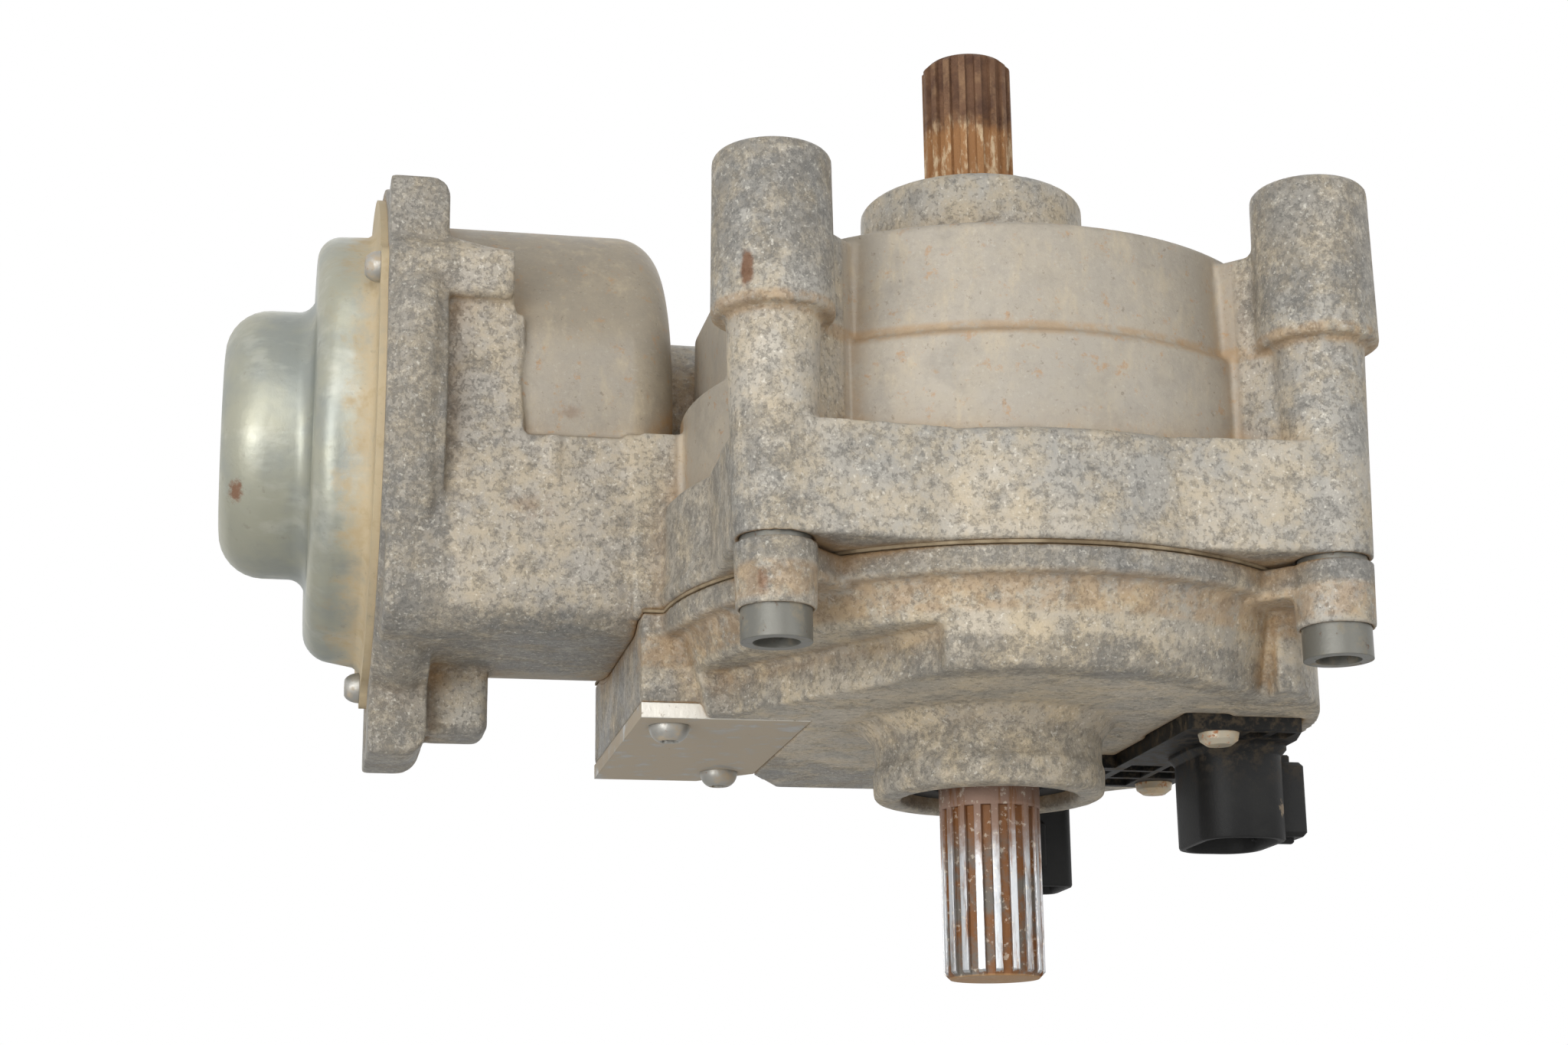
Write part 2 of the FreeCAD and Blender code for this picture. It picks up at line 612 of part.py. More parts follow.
def casing_plan(corner):
    """Plan of the square part of the casing behind the round case."""
    return [(-S.block_left, -S.block_front), (S.rear_right, -S.block_front),
            (S.rear_right, S.rear_y - corner), (S.rear_right - corner, S.rear_y),
            (-S.rear_left, S.rear_y), (-S.rear_left, S.block_rear),
            (-S.block_left, S.block_rear)]


case_square = padded("case_square", casing_plan(S.rear_corner / 2), base_z,
                     S.case_top_z - base_z)
left_block = box("left_block", (-S.block_left, -S.block_front, S.case_top_z - 1.0),
                 (-S.rear_left, S.block_rear, S.block_top_z))
worm_tube = cylinder("worm_tube", S.worm_tube_r, S.barrel_floor + S.worm_tube_end,
                     (-S.barrel_floor, S.worm_y, S.worm_z), "X")
worm_saddle = box("worm_saddle",
                  (-S.rear_left - 1.0, S.worm_y - S.worm_tube_r / 2, S.case_top_z - 1.0),
                  (S.worm_tube_end, S.worm_y + S.worm_tube_r - 2.0, S.worm_z))

barrel_rod = cylinder("barrel_rod", S.barrel_r, S.flange_face - S.barrel_end,
                      (-S.flange_face, S.worm_y, S.worm_z), "X")
barrel = rounded("barrel", barrel_rod, S.barrel_round,
                 lambda e: e.BoundBox.XLength < 0.1 and e.BoundBox.XMin > -float(S.barrel_end) - 1)
neck_front = 1.0 - S.block_front
neck_block = box("neck_block", (-S.flange_face + 1.0, neck_front, S.neck_low_z),
                 (-S.block_left, S.worm_y, S.neck_top_z))
neck = rounded("neck", neck_block, S.neck_round,
               lambda e: e.BoundBox.XLength > 5 and e.BoundBox.YMax < float(neck_front) + 1
               and e.BoundBox.ZMax < float(S.neck_low_z) + 1)

flange_back = S.flange_t - S.flange_face
flange_disc = cylinder("flange_disc", S.flange_r, S.flange_t,
                       (-S.flange_face, S.worm_y, S.worm_z), "X")
ear_box = box("ear_box",
              (-S.flange_face, S.worm_y - S.flange_ear_w / 2, S.worm_z - S.flange_ear_down),
              (flange_back, S.worm_y + S.flange_ear_w / 2, S.worm_z))
ear = rounded("ear", ear_box, 5.0,
              lambda e: e.BoundBox.XLength < 0.1 and e.BoundBox.ZLength < 0.1
              and e.BoundBox.XMin > float(flange_back) - 1
              and e.BoundBox.ZMax < float(S.worm_z) - 1)
flange_lug_box = box("flange_lug_box", (-S.flange_face, S.worm_y - S.flange_r + 5.5,
                                        S.flange_lug_low_z),
                     (flange_back, S.flange_lug_rear, S.flange_lug_top_z))
flange_lug = rounded("flange_lug", flange_lug_box, 4.0,
                     lambda e: e.BoundBox.XLength < 0.1 and e.BoundBox.ZLength < 0.1
                     and e.BoundBox.XMin > float(flange_back) - 1
                     and e.BoundBox.ZMin > float(S.flange_lug_top_z) - 1)
gusset = box("gusset", (flange_back - 1.0, neck_front + 1.0, S.neck_top_z - 1.0),
             (flange_back + S.gusset_w, neck_front + 20.0, S.gusset_top_z))


def pan_boss_spot(angle):
    """Centre of a cover screw on the flange, at an angle from the rear about the motor's axis."""
    swing = math.radians(angle)
    return (S.worm_y + S.pan_boss_pitch_r * math.cos(swing),
            S.worm_z + S.pan_boss_pitch_r * math.sin(swing))


side_angle = float(S.pan_boss_side_angle)
PAN_BOSSES = {"front": 180.0 - side_angle, "low": 270.0, "rear": side_angle}
pan_bosses = [cylinder("pan_boss_" + name, S.pan_boss_r, S.pan_boss_length,
                       (-S.flange_face, *pan_boss_spot(angle)), "X")
              for name, angle in PAN_BOSSES.items()]

posts = [upper_post("post_" + name, x, y) for name, (x, y) in POSTS.items()]
webs = []
for name, (x, y) in POSTS.items():
    if name == "rear_right":
        webs.append(radial_box("web_" + name, x, y, S.web_w, base_z, S.worm_z))
        continue
    webs.append(radial_box("web_" + name, x, y, S.web_w, base_z, S.tier_top_z - 2.0))
    webs.append(flared_web("case_web_" + name, x, y, base_z, S.case_top_z))

LUG_X = {"left": -28.0, "middle": 8.0, "right": 38.0}
LEAD_ROOM = ((-S.block_left + 6.0, 14.0), (-S.plate_right - 2.0, 54.0))
lead_room_top = base_z + 12.4
lead_room = box("lead_room", (*LEAD_ROOM[0], base_z - 1.0), (*LEAD_ROOM[1], lead_room_top))
lead_duct = box("lead_duct", (-S.barrel_floor - 6.0, 22.0, base_z + 0.9),
                (-S.barrel_floor + 10.0, 52.0, lead_room_top))
lug_y = S.rear_y + S.screw_head_d / 2 + 0.5
lug_top = base_z + S.lug_t
lugs = [cylinder("lug_" + name, 7.0, S.lug_t, (x, lug_y, base_z)) for name, x in LUG_X.items()]

casting = fuse("casting", [round_case, case_square, left_block, worm_tube, worm_saddle, barrel, neck,
                           flange_disc, ear, flange_lug, gusset] + pan_bosses + posts + webs + lugs)

case_bore_r = S.case_r - S.wall - 0.5
shelf_z = S.case_top_z - S.wall
bearing_high_r = S.high_bearing_d / 2
sensor_r = S.input_bearing_d / 2 + 5.5
hollows = turned("housing_hollows", [
    (0, base_z - 1.0), (case_bore_r, base_z - 1.0), (case_bore_r, shelf_z),
    (S.cavity_r, shelf_z), (S.cavity_r, hub_top - 1.5), (S.cavity_r - 1.5, hub_top),
    (bearing_high_r, hub_top), (bearing_high_r, bearing_high_top),
    (sensor_r, bearing_high_top), (sensor_r, sensor_top),
    (S.input_bearing_d / 2, sensor_top), (S.input_bearing_d / 2, input_bearing_top),
    (S.high_seal_d / 2, input_bearing_top), (S.high_seal_d / 2, S.collar_z + 1.0),
    (0, S.collar_z + 1.0)])
worm_bore_r = S.tail_bearing_d / 2 + 0.5
motor_hollow = turned("motor_hollow", [
    (0, -S.flange_face - 1.0), (S.barrel_bore_r, -S.flange_face - 1.0),
    (S.barrel_bore_r, -S.barrel_floor - 2.0), (S.barrel_bore_r - 2.0, -S.barrel_floor),
    (S.worm_bearing_d / 2, -S.barrel_floor), (S.worm_bearing_d / 2, -head_bearing_x),
    (worm_bore_r, -head_bearing_x), (worm_bore_r, tail_bearing_x),
    (S.tail_bearing_d / 2, tail_bearing_x), (S.tail_bearing_d / 2, tail_end),
    (0, tail_end)], WORM_AT, "X")

sleeve_r = S.sleeve_d / 2
sleeve_holes = [cylinder("sleeve_hole_" + name, sleeve_r, S.post_top_z, (x, y, 0))
                for name, (x, y) in POSTS.items()]
pan_screw_r = S.pan_screw_d / 2
pan_holes = [cylinder("pan_hole_" + name, pan_screw_r, S.pan_boss_length - 4.0,
                      (-S.flange_face, *pan_boss_spot(angle)), "X")
             for name, angle in PAN_BOSSES.items()]
ear_hole = cylinder("ear_hole", S.ear_hole_d / 2, S.flange_t + 2.0,
                    (-S.flange_face - 1.0, S.worm_y, S.worm_z - S.ear_hole_drop), "X")
lug_holes = [cylinder("lug_hole_" + name, S.screw_d / 2, S.lug_t + 2.0, (x, lug_y, base_z - 1.0))
             for name, x in LUG_X.items()]
housing_rooms = cut("housing_rooms", casting, [hollows])
parting_trim = box("parting_trim", (-S.block_left, -S.block_front, S.lip_z - 2.0),
                   (-S.rear_left, S.block_rear, base_z))
housing_bored = cut("housing_bored", housing_rooms, [motor_hollow])
keep("main_housing", cut("main_housing_cut", housing_bored,
                         [ear_hole, lead_room, lead_duct, parting_trim]
                         + sleeve_holes + pan_holes + lug_holes))


# Lower casting: drum, bearing mouth, rear pad and block under the motor side

hub_wall_r = S.low_bearing_d / 2 + S.wall - 0.5
cover_floor = S.recess_z + 2.5
drum_top_r = S.case_r - S.lip_step
drum_low_r = drum_top_r - S.drum_draft
cover_drum = turned("cover_drum", [
    (0, S.mouth_z), (S.mouth_r - S.edge_break, S.mouth_z), (S.mouth_r, S.mouth_z + S.edge_break),
    (S.mouth_r + 0.5, S.drum_z - 3.0), (S.mouth_r + 3.5, S.drum_z), (drum_low_r - 1.0, S.drum_z),
    (drum_low_r, S.drum_z + 1.0), (drum_top_r, S.lip_z), (S.case_r - 0.8, S.lip_z),
    (S.case_r, S.lip_z + 0.8), (S.case_r, S.parting_z), (0, S.parting_z)])
plate_top = S.plate_z + S.plate_t
cover_block = padded("cover_block", [
    (-S.block_left, -S.block_front), (-S.plate_right, -S.block_front),
    (-S.plate_right, S.block_rear), (-S.block_left, S.block_rear)],
    plate_top, S.parting_z - plate_top)
pad_front = 6.0
cover_pad = padded("cover_pad", [
    (-S.plate_right, pad_front), (S.rear_right, pad_front),
    (S.rear_right, S.rear_y - S.rear_corner), (S.rear_right - S.rear_corner, S.rear_y),
    (-S.plate_right + 8.0, S.rear_y), (-S.plate_right, S.block_rear - S.plate_corner)],
    S.pad_z, S.parting_z - S.pad_z)
SIDE_FRONT = -44.0
cover_side = common("cover_side", [
    cylinder("side_round", S.case_r, S.parting_z - S.pad_z, (0, 0, S.pad_z)),
    box("side_box", (S.module_left + 9.0, SIDE_FRONT, S.pad_z), (S.case_r + 1.0, pad_front + 24.0,
                                                                 S.parting_z))])
cover_posts = [lower_post("cover_post_" + name, x, y) for name, (x, y) in POSTS.items()]
cover_webs = [radial_box("cover_web_" + name, x, y, S.web_w, S.lip_z - 1.0, S.parting_z, 5.0)
              for name, (x, y) in POSTS.items()]
cover_lugs = [cylinder("cover_lug_" + name, 7.0, S.lug_t + 3.0,
                       (x, lug_y, S.parting_z - S.lug_t - 3.0)) for name, x in LUG_X.items()]
cover_solid = fuse("cover_solid", [cover_drum, cover_block, cover_pad, cover_side] + cover_posts
                   + cover_webs + cover_lugs)

cover_well = common("cover_well", [
    ring("cover_well_ring", hub_wall_r, S.well_r, S.drum_z + S.wall - 0.5,
         cover_floor + 1.0),
    box("cover_well_side", (-S.plate_right + 2.0, -S.case_r, S.drum_z),
        (30.0, 24.0, S.parting_z))])
cover_hollow = turned("cover_hollow", [
    (hub_wall_r, cover_floor), (case_bore_r - 3.0, cover_floor), (case_bore_r - 3.0, S.parting_z + 1.0),
    (hub_wall_r - 3.0, S.parting_z + 1.0), (hub_wall_r, S.parting_z)])
shaft_hollow = turned("cover_shaft_hollow", [
    (0, S.mouth_z - 1.0), (S.low_seal_d / 2, S.mouth_z - 1.0),
    (S.low_seal_d / 2, S.low_seal_z + S.low_seal_w), (journal_r + 3.5, S.low_seal_z + S.low_seal_w),
    (journal_r + 3.5, bearing_low_z), (S.low_bearing_d / 2, bearing_low_z),
    (S.low_bearing_d / 2, bearing_low_top), (S.low_bearing_d / 2 + 1.3, bearing_low_top),
    (S.low_bearing_d / 2 + 1.3, bearing_low_top + 1.4), (S.low_bearing_d / 2, bearing_low_top + 1.4),
    (S.low_bearing_d / 2, S.parting_z + 1.0), (0, S.parting_z + 1.0)])

RECESS_LEFT = (-54.0, -5.0)
RECESS_RIGHT = (-22.6, -49.9)


def recess_block():
    """Block that takes the drum's left foot back to a straight wall."""
    corners = [RECESS_LEFT, RECESS_RIGHT, (RECESS_RIGHT[0], -80.0), (-90.0, -80.0),
               (-90.0, RECESS_LEFT[1])]
    return padded("recess_block", corners, S.mouth_z, S.recess_z - S.mouth_z)


def module_plan(gap=0.0):
    """Plan of the connector base, grown by a gap for the pocket that takes it."""
    left, right, rear = S.module_left - gap, S.module_right + gap, S.module_rear_right + gap
    front, back, step = -S.module_front - gap, S.module_rear + gap, S.module_arm_front - gap
    return [(left, front), (right - 3.5, front), (right - 0.8, front / 2), (right, 11.0),
            (right - 3.5, 23.0), (rear, 31.0), (rear, back), (S.module_arm - gap, back),
            (S.module_arm - gap, step), (left, step)]


module_top = S.recess_z - 3.0
module_pocket = padded("module_pocket", module_plan(S.seat_gap), S.mouth_z,
                       module_top - S.mouth_z)
power_window = box("power_window", (S.power_x - 6.5, S.power_y - 6.0, module_top - 1.0),
                   (S.power_x + 1.5, S.power_y + 6.0, S.parting_z))
signal_window = box("signal_window", (S.signal_x - 6.0, S.signal_y - 4.0, module_top - 1.0),
                    (S.signal_x + 6.0, S.signal_y + 4.0, S.parting_z))
chamber_low = plate_top
chamber = box("terminal_chamber", (*LEAD_ROOM[0], chamber_low - 1.0),
              (*LEAD_ROOM[1], S.parting_z + 1.0))
PLATE_SCREWS = {"front": (-63.0, 8.0), "rear": (-44.0, 60.0)}
MODULE_SCREWS = {"front": (S.module_left + 7.8, 4.5 - S.module_front),
                 "rear": (S.module_rear_right - 4.6, S.module_rear - 5.0)}
BOARD_POSTS = {"right": 20.0, "rear": 110.0, "left": 200.0, "front": 290.0}
board_post_pitch = S.board_r - 8.0
small_r = S.screw_d / 2


def board_spot(angle):
    swing = math.radians(angle)
    return (board_post_pitch * math.cos(swing), board_post_pitch * math.sin(swing))


plate_seat = box("plate_seat", (-S.block_left - 1.0, -S.block_front - S.seat_gap, S.mouth_z),
                 (-S.plate_right, S.block_rear, plate_top))
plate_holes = [cylinder("plate_hole_" + name, small_r, 12.0, (x, y, chamber_low - 1.0))
               for name, (x, y) in PLATE_SCREWS.items()]
module_holes = [cylinder("module_hole_" + name, small_r, 5.0, (x, y, module_top - 1.0))
                for name, (x, y) in MODULE_SCREWS.items()]
cover_lug_holes = [cylinder("cover_lug_hole_" + name, small_r, 9.0,
                            (x, lug_y, S.parting_z - 8.0)) for name, x in LUG_X.items()]
cover_sleeve_holes = [cylinder("cover_sleeve_hole_" + name, sleeve_r, 60.0, (x, y, 30.0))
                      for name, (x, y) in POSTS.items()]
cover_body = cut("cover_body", cover_solid,
                 [cover_hollow, cover_well, shaft_hollow, recess_block(), module_pocket, power_window,
                  signal_window, chamber, plate_seat] + plate_holes + module_holes + cover_lug_holes
                 + cover_sleeve_holes)
board_pillars = [cylinder("pillar_" + name, 4.0, S.board_z - cover_floor + 1.0,
                          (*board_spot(angle), cover_floor - 1.0))
                 for name, angle in BOARD_POSTS.items()]
pillar_holes = [cylinder("pillar_hole_" + name, 1.5, 8.0, (*board_spot(angle), S.board_z - 8.0))
                for name, angle in BOARD_POSTS.items()]
keep("lower_cover", cut("lower_cover_cut", fuse("cover_with_pillars", [cover_body] + board_pillars),
                        pillar_holes))

gasket_sheet = padded("gasket_sheet", casing_plan(S.rear_corner / 2), S.parting_z, S.gasket_t)
gasket_disc = cylinder("gasket_disc", S.case_r, S.gasket_t, (0, 0, S.parting_z))
gasket_hole = cylinder("gasket_hole", case_bore_r, S.gasket_t + 2.0, (0, 0, S.parting_z - 1.0))
gasket_window = box("gasket_window", (*LEAD_ROOM[0], S.parting_z - 1.0),
                    (*LEAD_ROOM[1], base_z + 1.0))
keep("case_gasket", cut("case_gasket_cut", fuse("gasket_solid", [gasket_sheet, gasket_disc]),
                        [gasket_hole, gasket_window] + [
                            cylinder("gasket_post_hole_" + name, sleeve_r, 4.0,
                                     (x, y, S.parting_z - 2.0)) for name, (x, y) in POSTS.items()]))

sleeve_bore_r = S.sleeve_bore_d / 2
keep("mount_sleeves", group("mount_sleeve_set", [
    ring("sleeve_" + name, sleeve_bore_r, sleeve_r, S.sleeve_foot_z, S.post_top_z, (x, y, 0))
    for name, (x, y) in POSTS.items()]))


# Screws: a domed head on a plain shank

def screw(name, head_r, head_t, shank_r, length, at, turn="Z"):
    """Screw whose head points down its own axis from the joint face at its origin."""
    return turned(name, [
        (0, -head_t), (head_r * 0.6, -head_t), (head_r * 0.92, -head_t * 0.6), (head_r, 0),
        (shank_r, 0), (shank_r, length), (0, length)], at, turn)


shank_r = S.screw_d / 2
keep("plate_screws", group("plate_screw_set", [
    screw("plate_screw_" + name, S.screw_head_d / 2, S.screw_head_t, shank_r, 11.0,
          (x, y, S.plate_z)) for name, (x, y) in PLATE_SCREWS.items()]))
keep("pan_screws", group("pan_screw_set", [
    screw("pan_screw_" + name, S.pan_screw_head_d / 2, S.screw_head_t, pan_screw_r, 16.0,
          (-S.flange_face - S.pan_t, *pan_boss_spot(angle)), "X")
    for name, angle in PAN_BOSSES.items()]))


def lug_bolt(name, x):
    bolt = turned(name, [(0, S.parting_z - 6.0), (shank_r, S.parting_z - 6.0), (shank_r, lug_top),
                         (S.screw_head_d / 2, lug_top), (S.screw_head_d / 2, lug_top + 3.5),
                         (S.screw_head_d / 2 - 0.8, lug_top + 4.2), (0, lug_top + 4.2)],
                  (x, lug_y, 0))
    return bolt


keep("case_bolts", group("case_bolt_set", [lug_bolt("case_bolt_" + name, x)
                                           for name, x in LUG_X.items()]))


# Underside plate

plate_solid = padded("plate_solid", [
    (-S.block_left, -S.block_front), (-S.plate_right - S.seat_gap, -S.block_front),
    (-S.plate_right - S.seat_gap, S.block_rear - S.plate_corner),
    (-S.plate_right - S.plate_corner, S.block_rear), (-S.block_left, S.block_rear)],
    S.plate_z, S.plate_t)
plate_screw_holes = [cylinder("plate_screw_hole_" + name, shank_r, 12.0, (x, y, S.plate_z - 4.0))
                     for name, (x, y) in PLATE_SCREWS.items()]
keep("underside_plate", cut("underside_plate_cut", plate_solid, plate_screw_holes))

terminal_top = S.lip_z
keep("terminal_block", box("terminal_base", (LEAD_ROOM[0][0] + 1.0, LEAD_ROOM[0][1] + 2.0,
                                             S.recess_z),
                           (LEAD_ROOM[1][0] - 1.0, LEAD_ROOM[1][1] - 2.0, terminal_top)))
BAR_Y = {"low": (18.0, 27.0, 98.0), "middle": (24.0, 37.0, 87.0), "high": (30.0, 47.0, 81.0)}
BAR_W = 3.0
BAR_T = 1.5


def strip(name, x_low, x_high, y, z_low, z_high):
    return box(name, (x_low, y - BAR_W / 2, z_low), (x_high, y + BAR_W / 2, z_high))


terminals = []
bars = []
terminal_x = 12.0 - S.board_r
bar_back = -S.barrel_floor - S.stator_end_gap + S.coil_end
for name, (board_y, motor_y, coil_z) in BAR_Y.items():
    flat = strip("terminal_flat_" + name, terminal_x - 12.0, terminal_x + BAR_T, board_y + 2.0,
                 terminal_top, terminal_top + BAR_T)
    rise = strip("terminal_rise_" + name, terminal_x, terminal_x + BAR_T, board_y, terminal_top,
                 S.board_z)
    terminals.append(fuse("terminal_" + name, [flat, rise]))
    foot = strip("bar_foot_" + name, -58.0, -56.5, motor_y, terminal_top, base_z + 5.0)
    level = strip("bar_level_" + name, bar_back, -56.5, motor_y, base_z + 3.5, base_z + 5.0)
    riser = strip("bar_riser_" + name, bar_back, bar_back + BAR_T, motor_y, base_z + 3.5, coil_z)
    bars.append(fuse("bar_" + name, [foot, level, riser]))
keep("board_terminals", group("board_terminal_set", terminals))
keep("phase_bars", group("phase_bar_set", bars))


# Motor: stator with coils, rotor with magnets, end shield, position sensor and end cover

def spoke(name, angle, inner, outer, width, low, high):
    """Bar standing out from the worm's axis at an angle, between two distances along it."""
    obj = new("Part::Box", name)
    bind(obj, "Length", outer - inner)
    bind(obj, "Width", width)
    bind(obj, "Height", high - low)
    turn = TURN["X"].multiply(Rotation(Vector(0, 0, 1), angle))
    corner = turn.multVec(Vector(float(inner), -float(width) / 2, float(low)))
    at = Vector(*[float(c) for c in WORM_AT])
    obj.Placement = Placement(at + corner, turn)
    return obj


stator_front = -S.barrel_floor - S.stator_end_gap
stator_back = stator_front - S.stator_length
coil_front = stator_front + S.coil_end
coil_back = stator_back - S.coil_end
shoe_r = S.stator_bore_r + 1.5
yoke_r = S.barrel_bore_r - 4.5
slots = int(float(S.slots))
slot_step = 360.0 / slots
teeth = [spoke(f"stator_tooth_{i}", i * slot_step, S.stator_bore_r + 0.5, yoke_r + 1.0,
               S.stator_tooth_w, stator_back, stator_front) for i in range(slots)]
gaps = [spoke(f"shoe_gap_{i}", (i + 0.5) * slot_step, S.stator_bore_r - 2.0, shoe_r + 1.0,
              2.5 * S.running_gap / 0.3, stator_back - 1.0, stator_front + 1.0)
        for i in range(slots)]
yoke = ring("yoke", yoke_r, S.barrel_bore_r, stator_back, stator_front, WORM_AT, "X")
shoes = cut("shoes", ring("shoe_ring", S.stator_bore_r, shoe_r, stator_back, stator_front,
                          WORM_AT, "X"), gaps)
keep("stator_core", fuse("stator_solid", [yoke, shoes] + teeth))
coils = []
for i in range(slots):
    outer_coil = spoke(f"coil_outer_{i}", i * slot_step, shoe_r + S.seat_gap,
                       yoke_r - 1.0, S.stator_tooth_w + 2 * S.coil_t, coil_back, coil_front)
    inner_coil = spoke(f"coil_inner_{i}", i * slot_step, S.stator_bore_r, yoke_r,
                       S.stator_tooth_w + 2 * S.seat_gap, stator_back - 0.3, stator_front + 0.3)
    coils.append(cut(f"coil_{i}", outer_coil, [inner_coil]))
keep("stator_windings", group("winding_set", coils))

rotor_front = stator_front - 1.0
rotor_back = rotor_front - S.rotor_length
core_r = S.rotor_r - S.magnet_t
keep("rotor_core", ring("rotor_stack", motor_shaft_r, core_r, rotor_back, rotor_front,
                        WORM_AT, "X"))
poles = int(float(S.poles))
magnet_gaps = [spoke(f"magnet_gap_{i}", i * 360.0 / poles, core_r - 2.0, S.rotor_r + 2.0, 2.4,
                     rotor_back - 1.0, rotor_front + 1.0) for i in range(poles)]
keep("rotor_magnets", cut("magnet_set", ring("magnet_ring", core_r, S.rotor_r, rotor_back,
                                             rotor_front, WORM_AT, "X"), magnet_gaps))

shield_front = -S.flange_face + S.shield_t
end_bearing_r = S.end_bearing_d / 2
skirt_r = S.pan_cap_r - S.pan_t - 0.5
skirt_in_r = skirt_r - S.skirt_t
keep("motor_end_shield", turned("end_shield", [
    (motor_shaft_r + 2.0, shield_front), (S.barrel_bore_r, shield_front),
    (S.barrel_bore_r, -S.flange_face), (skirt_r, -S.flange_face), (skirt_r, -resolver_back),
    (skirt_in_r, -resolver_back), (skirt_in_r, -S.flange_face - 2.0),
    (end_bearing_r + 3.0, -S.flange_face - 2.0), (end_bearing_r + 3.0, -end_bearing_back),
    (end_bearing_r, -end_bearing_back), (end_bearing_r, -end_bearing_x),
    (motor_shaft_r + 2.0, -end_bearing_x)], WORM_AT, "X"))
resolver_rotor_r = end_journal_r + 6.0
keep("resolver_stator", ring("resolver_coil_ring", resolver_rotor_r + 0.7, skirt_in_r,
                             -resolver_back, -resolver_face, WORM_AT, "X"))
lobes = [spoke(f"resolver_flat_{i}", 45.0 + 90.0 * i, resolver_rotor_r - 1.5,
               resolver_rotor_r + 3.0, 8.0, -resolver_back - 1.0, -resolver_face + 1.0)
         for i in range(4)]
keep("resolver_rotor", cut("resolver_rotor_cut",
                           ring("resolver_rotor_ring", end_journal_r, resolver_rotor_r,
                                -resolver_back, -resolver_face, WORM_AT, "X"), lobes))


def bend(centre_r, centre_z, radius, start, stop, steps=4):
    """Corner points along a quarter bend of a turned profile."""
    points = []
    for i in range(steps + 1):
        swing = math.radians(start + (stop - start) * i / steps)
        points.append((centre_r + radius * math.cos(swing), centre_z + radius * math.sin(swing)))
    return points


def pan_skin(inset):
    """Profile of the pressed cover from its rim to its middle, set in by a thickness."""
    step_r = S.pan_step_r - inset
    step_z = -S.flange_face - S.pan_step_depth + inset
    cap_r = S.pan_cap_r - inset
    cap_z = -S.flange_face - S.pan_depth + inset
    step_bend = S.pan_round - inset
    cap_bend = S.pan_cap_round - inset
    return (bend(step_r - step_bend, step_z + step_bend, step_bend, 0, -90)
            + [(cap_r + 0.5, step_z), (cap_r, step_z - 0.5)]
            + bend(cap_r - cap_bend, cap_z + cap_bend, cap_bend, 0, -90) + [(0, cap_z)])


pan_face = -S.flange_face - S.pan_t
pan_profile = ([(S.pan_rim_r, -S.flange_face), (S.pan_rim_r, pan_face), (S.pan_step_r, pan_face)]
               + pan_skin(0) + pan_skin(S.pan_t)[::-1]
               + [(S.pan_step_r - S.pan_t, -S.flange_face)])
pan_body = turned("pan_body", pan_profile, WORM_AT, "X")
pan_ear_r = S.pan_boss_r - 2.6
pan_ears = [cylinder("pan_ear_" + name, pan_ear_r, S.pan_t,
                     (pan_face, *pan_boss_spot(a)), "X") for name, a in PAN_BOSSES.items()]
pan_ear_holes = [cylinder("pan_ear_hole_" + name, pan_screw_r, S.pan_t + 2.0,
                          (pan_face - 1.0, *pan_boss_spot(a)), "X")
                 for name, a in PAN_BOSSES.items()]
keep("motor_end_cover", cut("pan_cut", fuse("pan_solid", [pan_body] + pan_ears), pan_ear_holes))


# Torque sensor under the collar

sensor_ring_r = journal_r + 7.0
keep("sensor_coils", ring("sensor_coil_ring", sensor_ring_r + 1.0, sensor_r,
                          bearing_high_top + 0.5, sensor_top - 0.5))


def toothed_ring(name, bore_r, low, high):
    """Ring with evenly spaced slots cut into its rim."""
    blank = ring(name + "_blank", bore_r, sensor_ring_r, low, high)
    notches = []
    for i in range(4):
        notch = box(f"{name}_notch_{i}", (-sensor_ring_r - 1.0, -1.0, low - 1.0),
                    (sensor_ring_r + 1.0, 1.0, high + 1.0))
        notch.Placement = Placement(Vector(), Rotation(Vector(0, 0, 1), 45.0 * i)).multiply(
            notch.Placement)
        notches.append(notch)
    keep_ring = cylinder(name + "_core", bore_r + 1.5, high - low + 4.0, (0, 0, low - 2.0))
    return cut(name + "_cut", blank, [cut(name + "_notches", fuse(name + "_slots", notches),
                                          [keep_ring])])


keep("sensor_ring_output", toothed_ring("output_ring", wheel_seat_r - 1.0,
                                        bearing_high_top + 0.3, output_top))
keep("sensor_ring_input", toothed_ring("input_ring", journal_r, sensor_top - 4.0,
                                       sensor_top - 1.0))


# Control board in the lower room

board_disc = ring("board_disc", S.board_hole_r, S.board_r, S.board_z, S.board_z + S.board_t)
board_holes = [cylinder("board_hole_" + name, 1.5, 4.0, (*board_spot(angle), S.board_z - 1.0))
               for name, angle in BOARD_POSTS.items()]
keep("control_board", cut("board_cut", board_disc, board_holes))
board_top = S.board_z + S.board_t
CHIPS = {"processor": (-2.0, 33.0, 10.0, 10.0, 1.6), "driver": (-30.0, -28.0, 8.0, 8.0, 1.8),
         "relay": (22.0, -32.0, 12.0, 9.0, 9.0), "coil": (36.0, -8.0, 9.0, 9.0, 8.0),
         "bridge": (-40.0, 6.0, 7.0, 14.0, 2.4), "regulator": (30.0, 26.0, 6.0, 6.0, 2.0)}
CAPACITORS = {"one": (-18.0, -40.0), "two": (-6.0, -42.0), "three": (6.0, 43.0)}
parts_on_board = [box("chip_" + name, (x - w / 2, y - d / 2, board_top),
                      (x + w / 2, y + d / 2, board_top + h))
                  for name, (x, y, w, d, h) in CHIPS.items()]
parts_on_board += [cylinder("capacitor_" + name, 4.5, 11.0, (x, y, board_top))
                   for name, (x, y) in CAPACITORS.items()]
keep("board_components", group("board_component_set", parts_on_board))
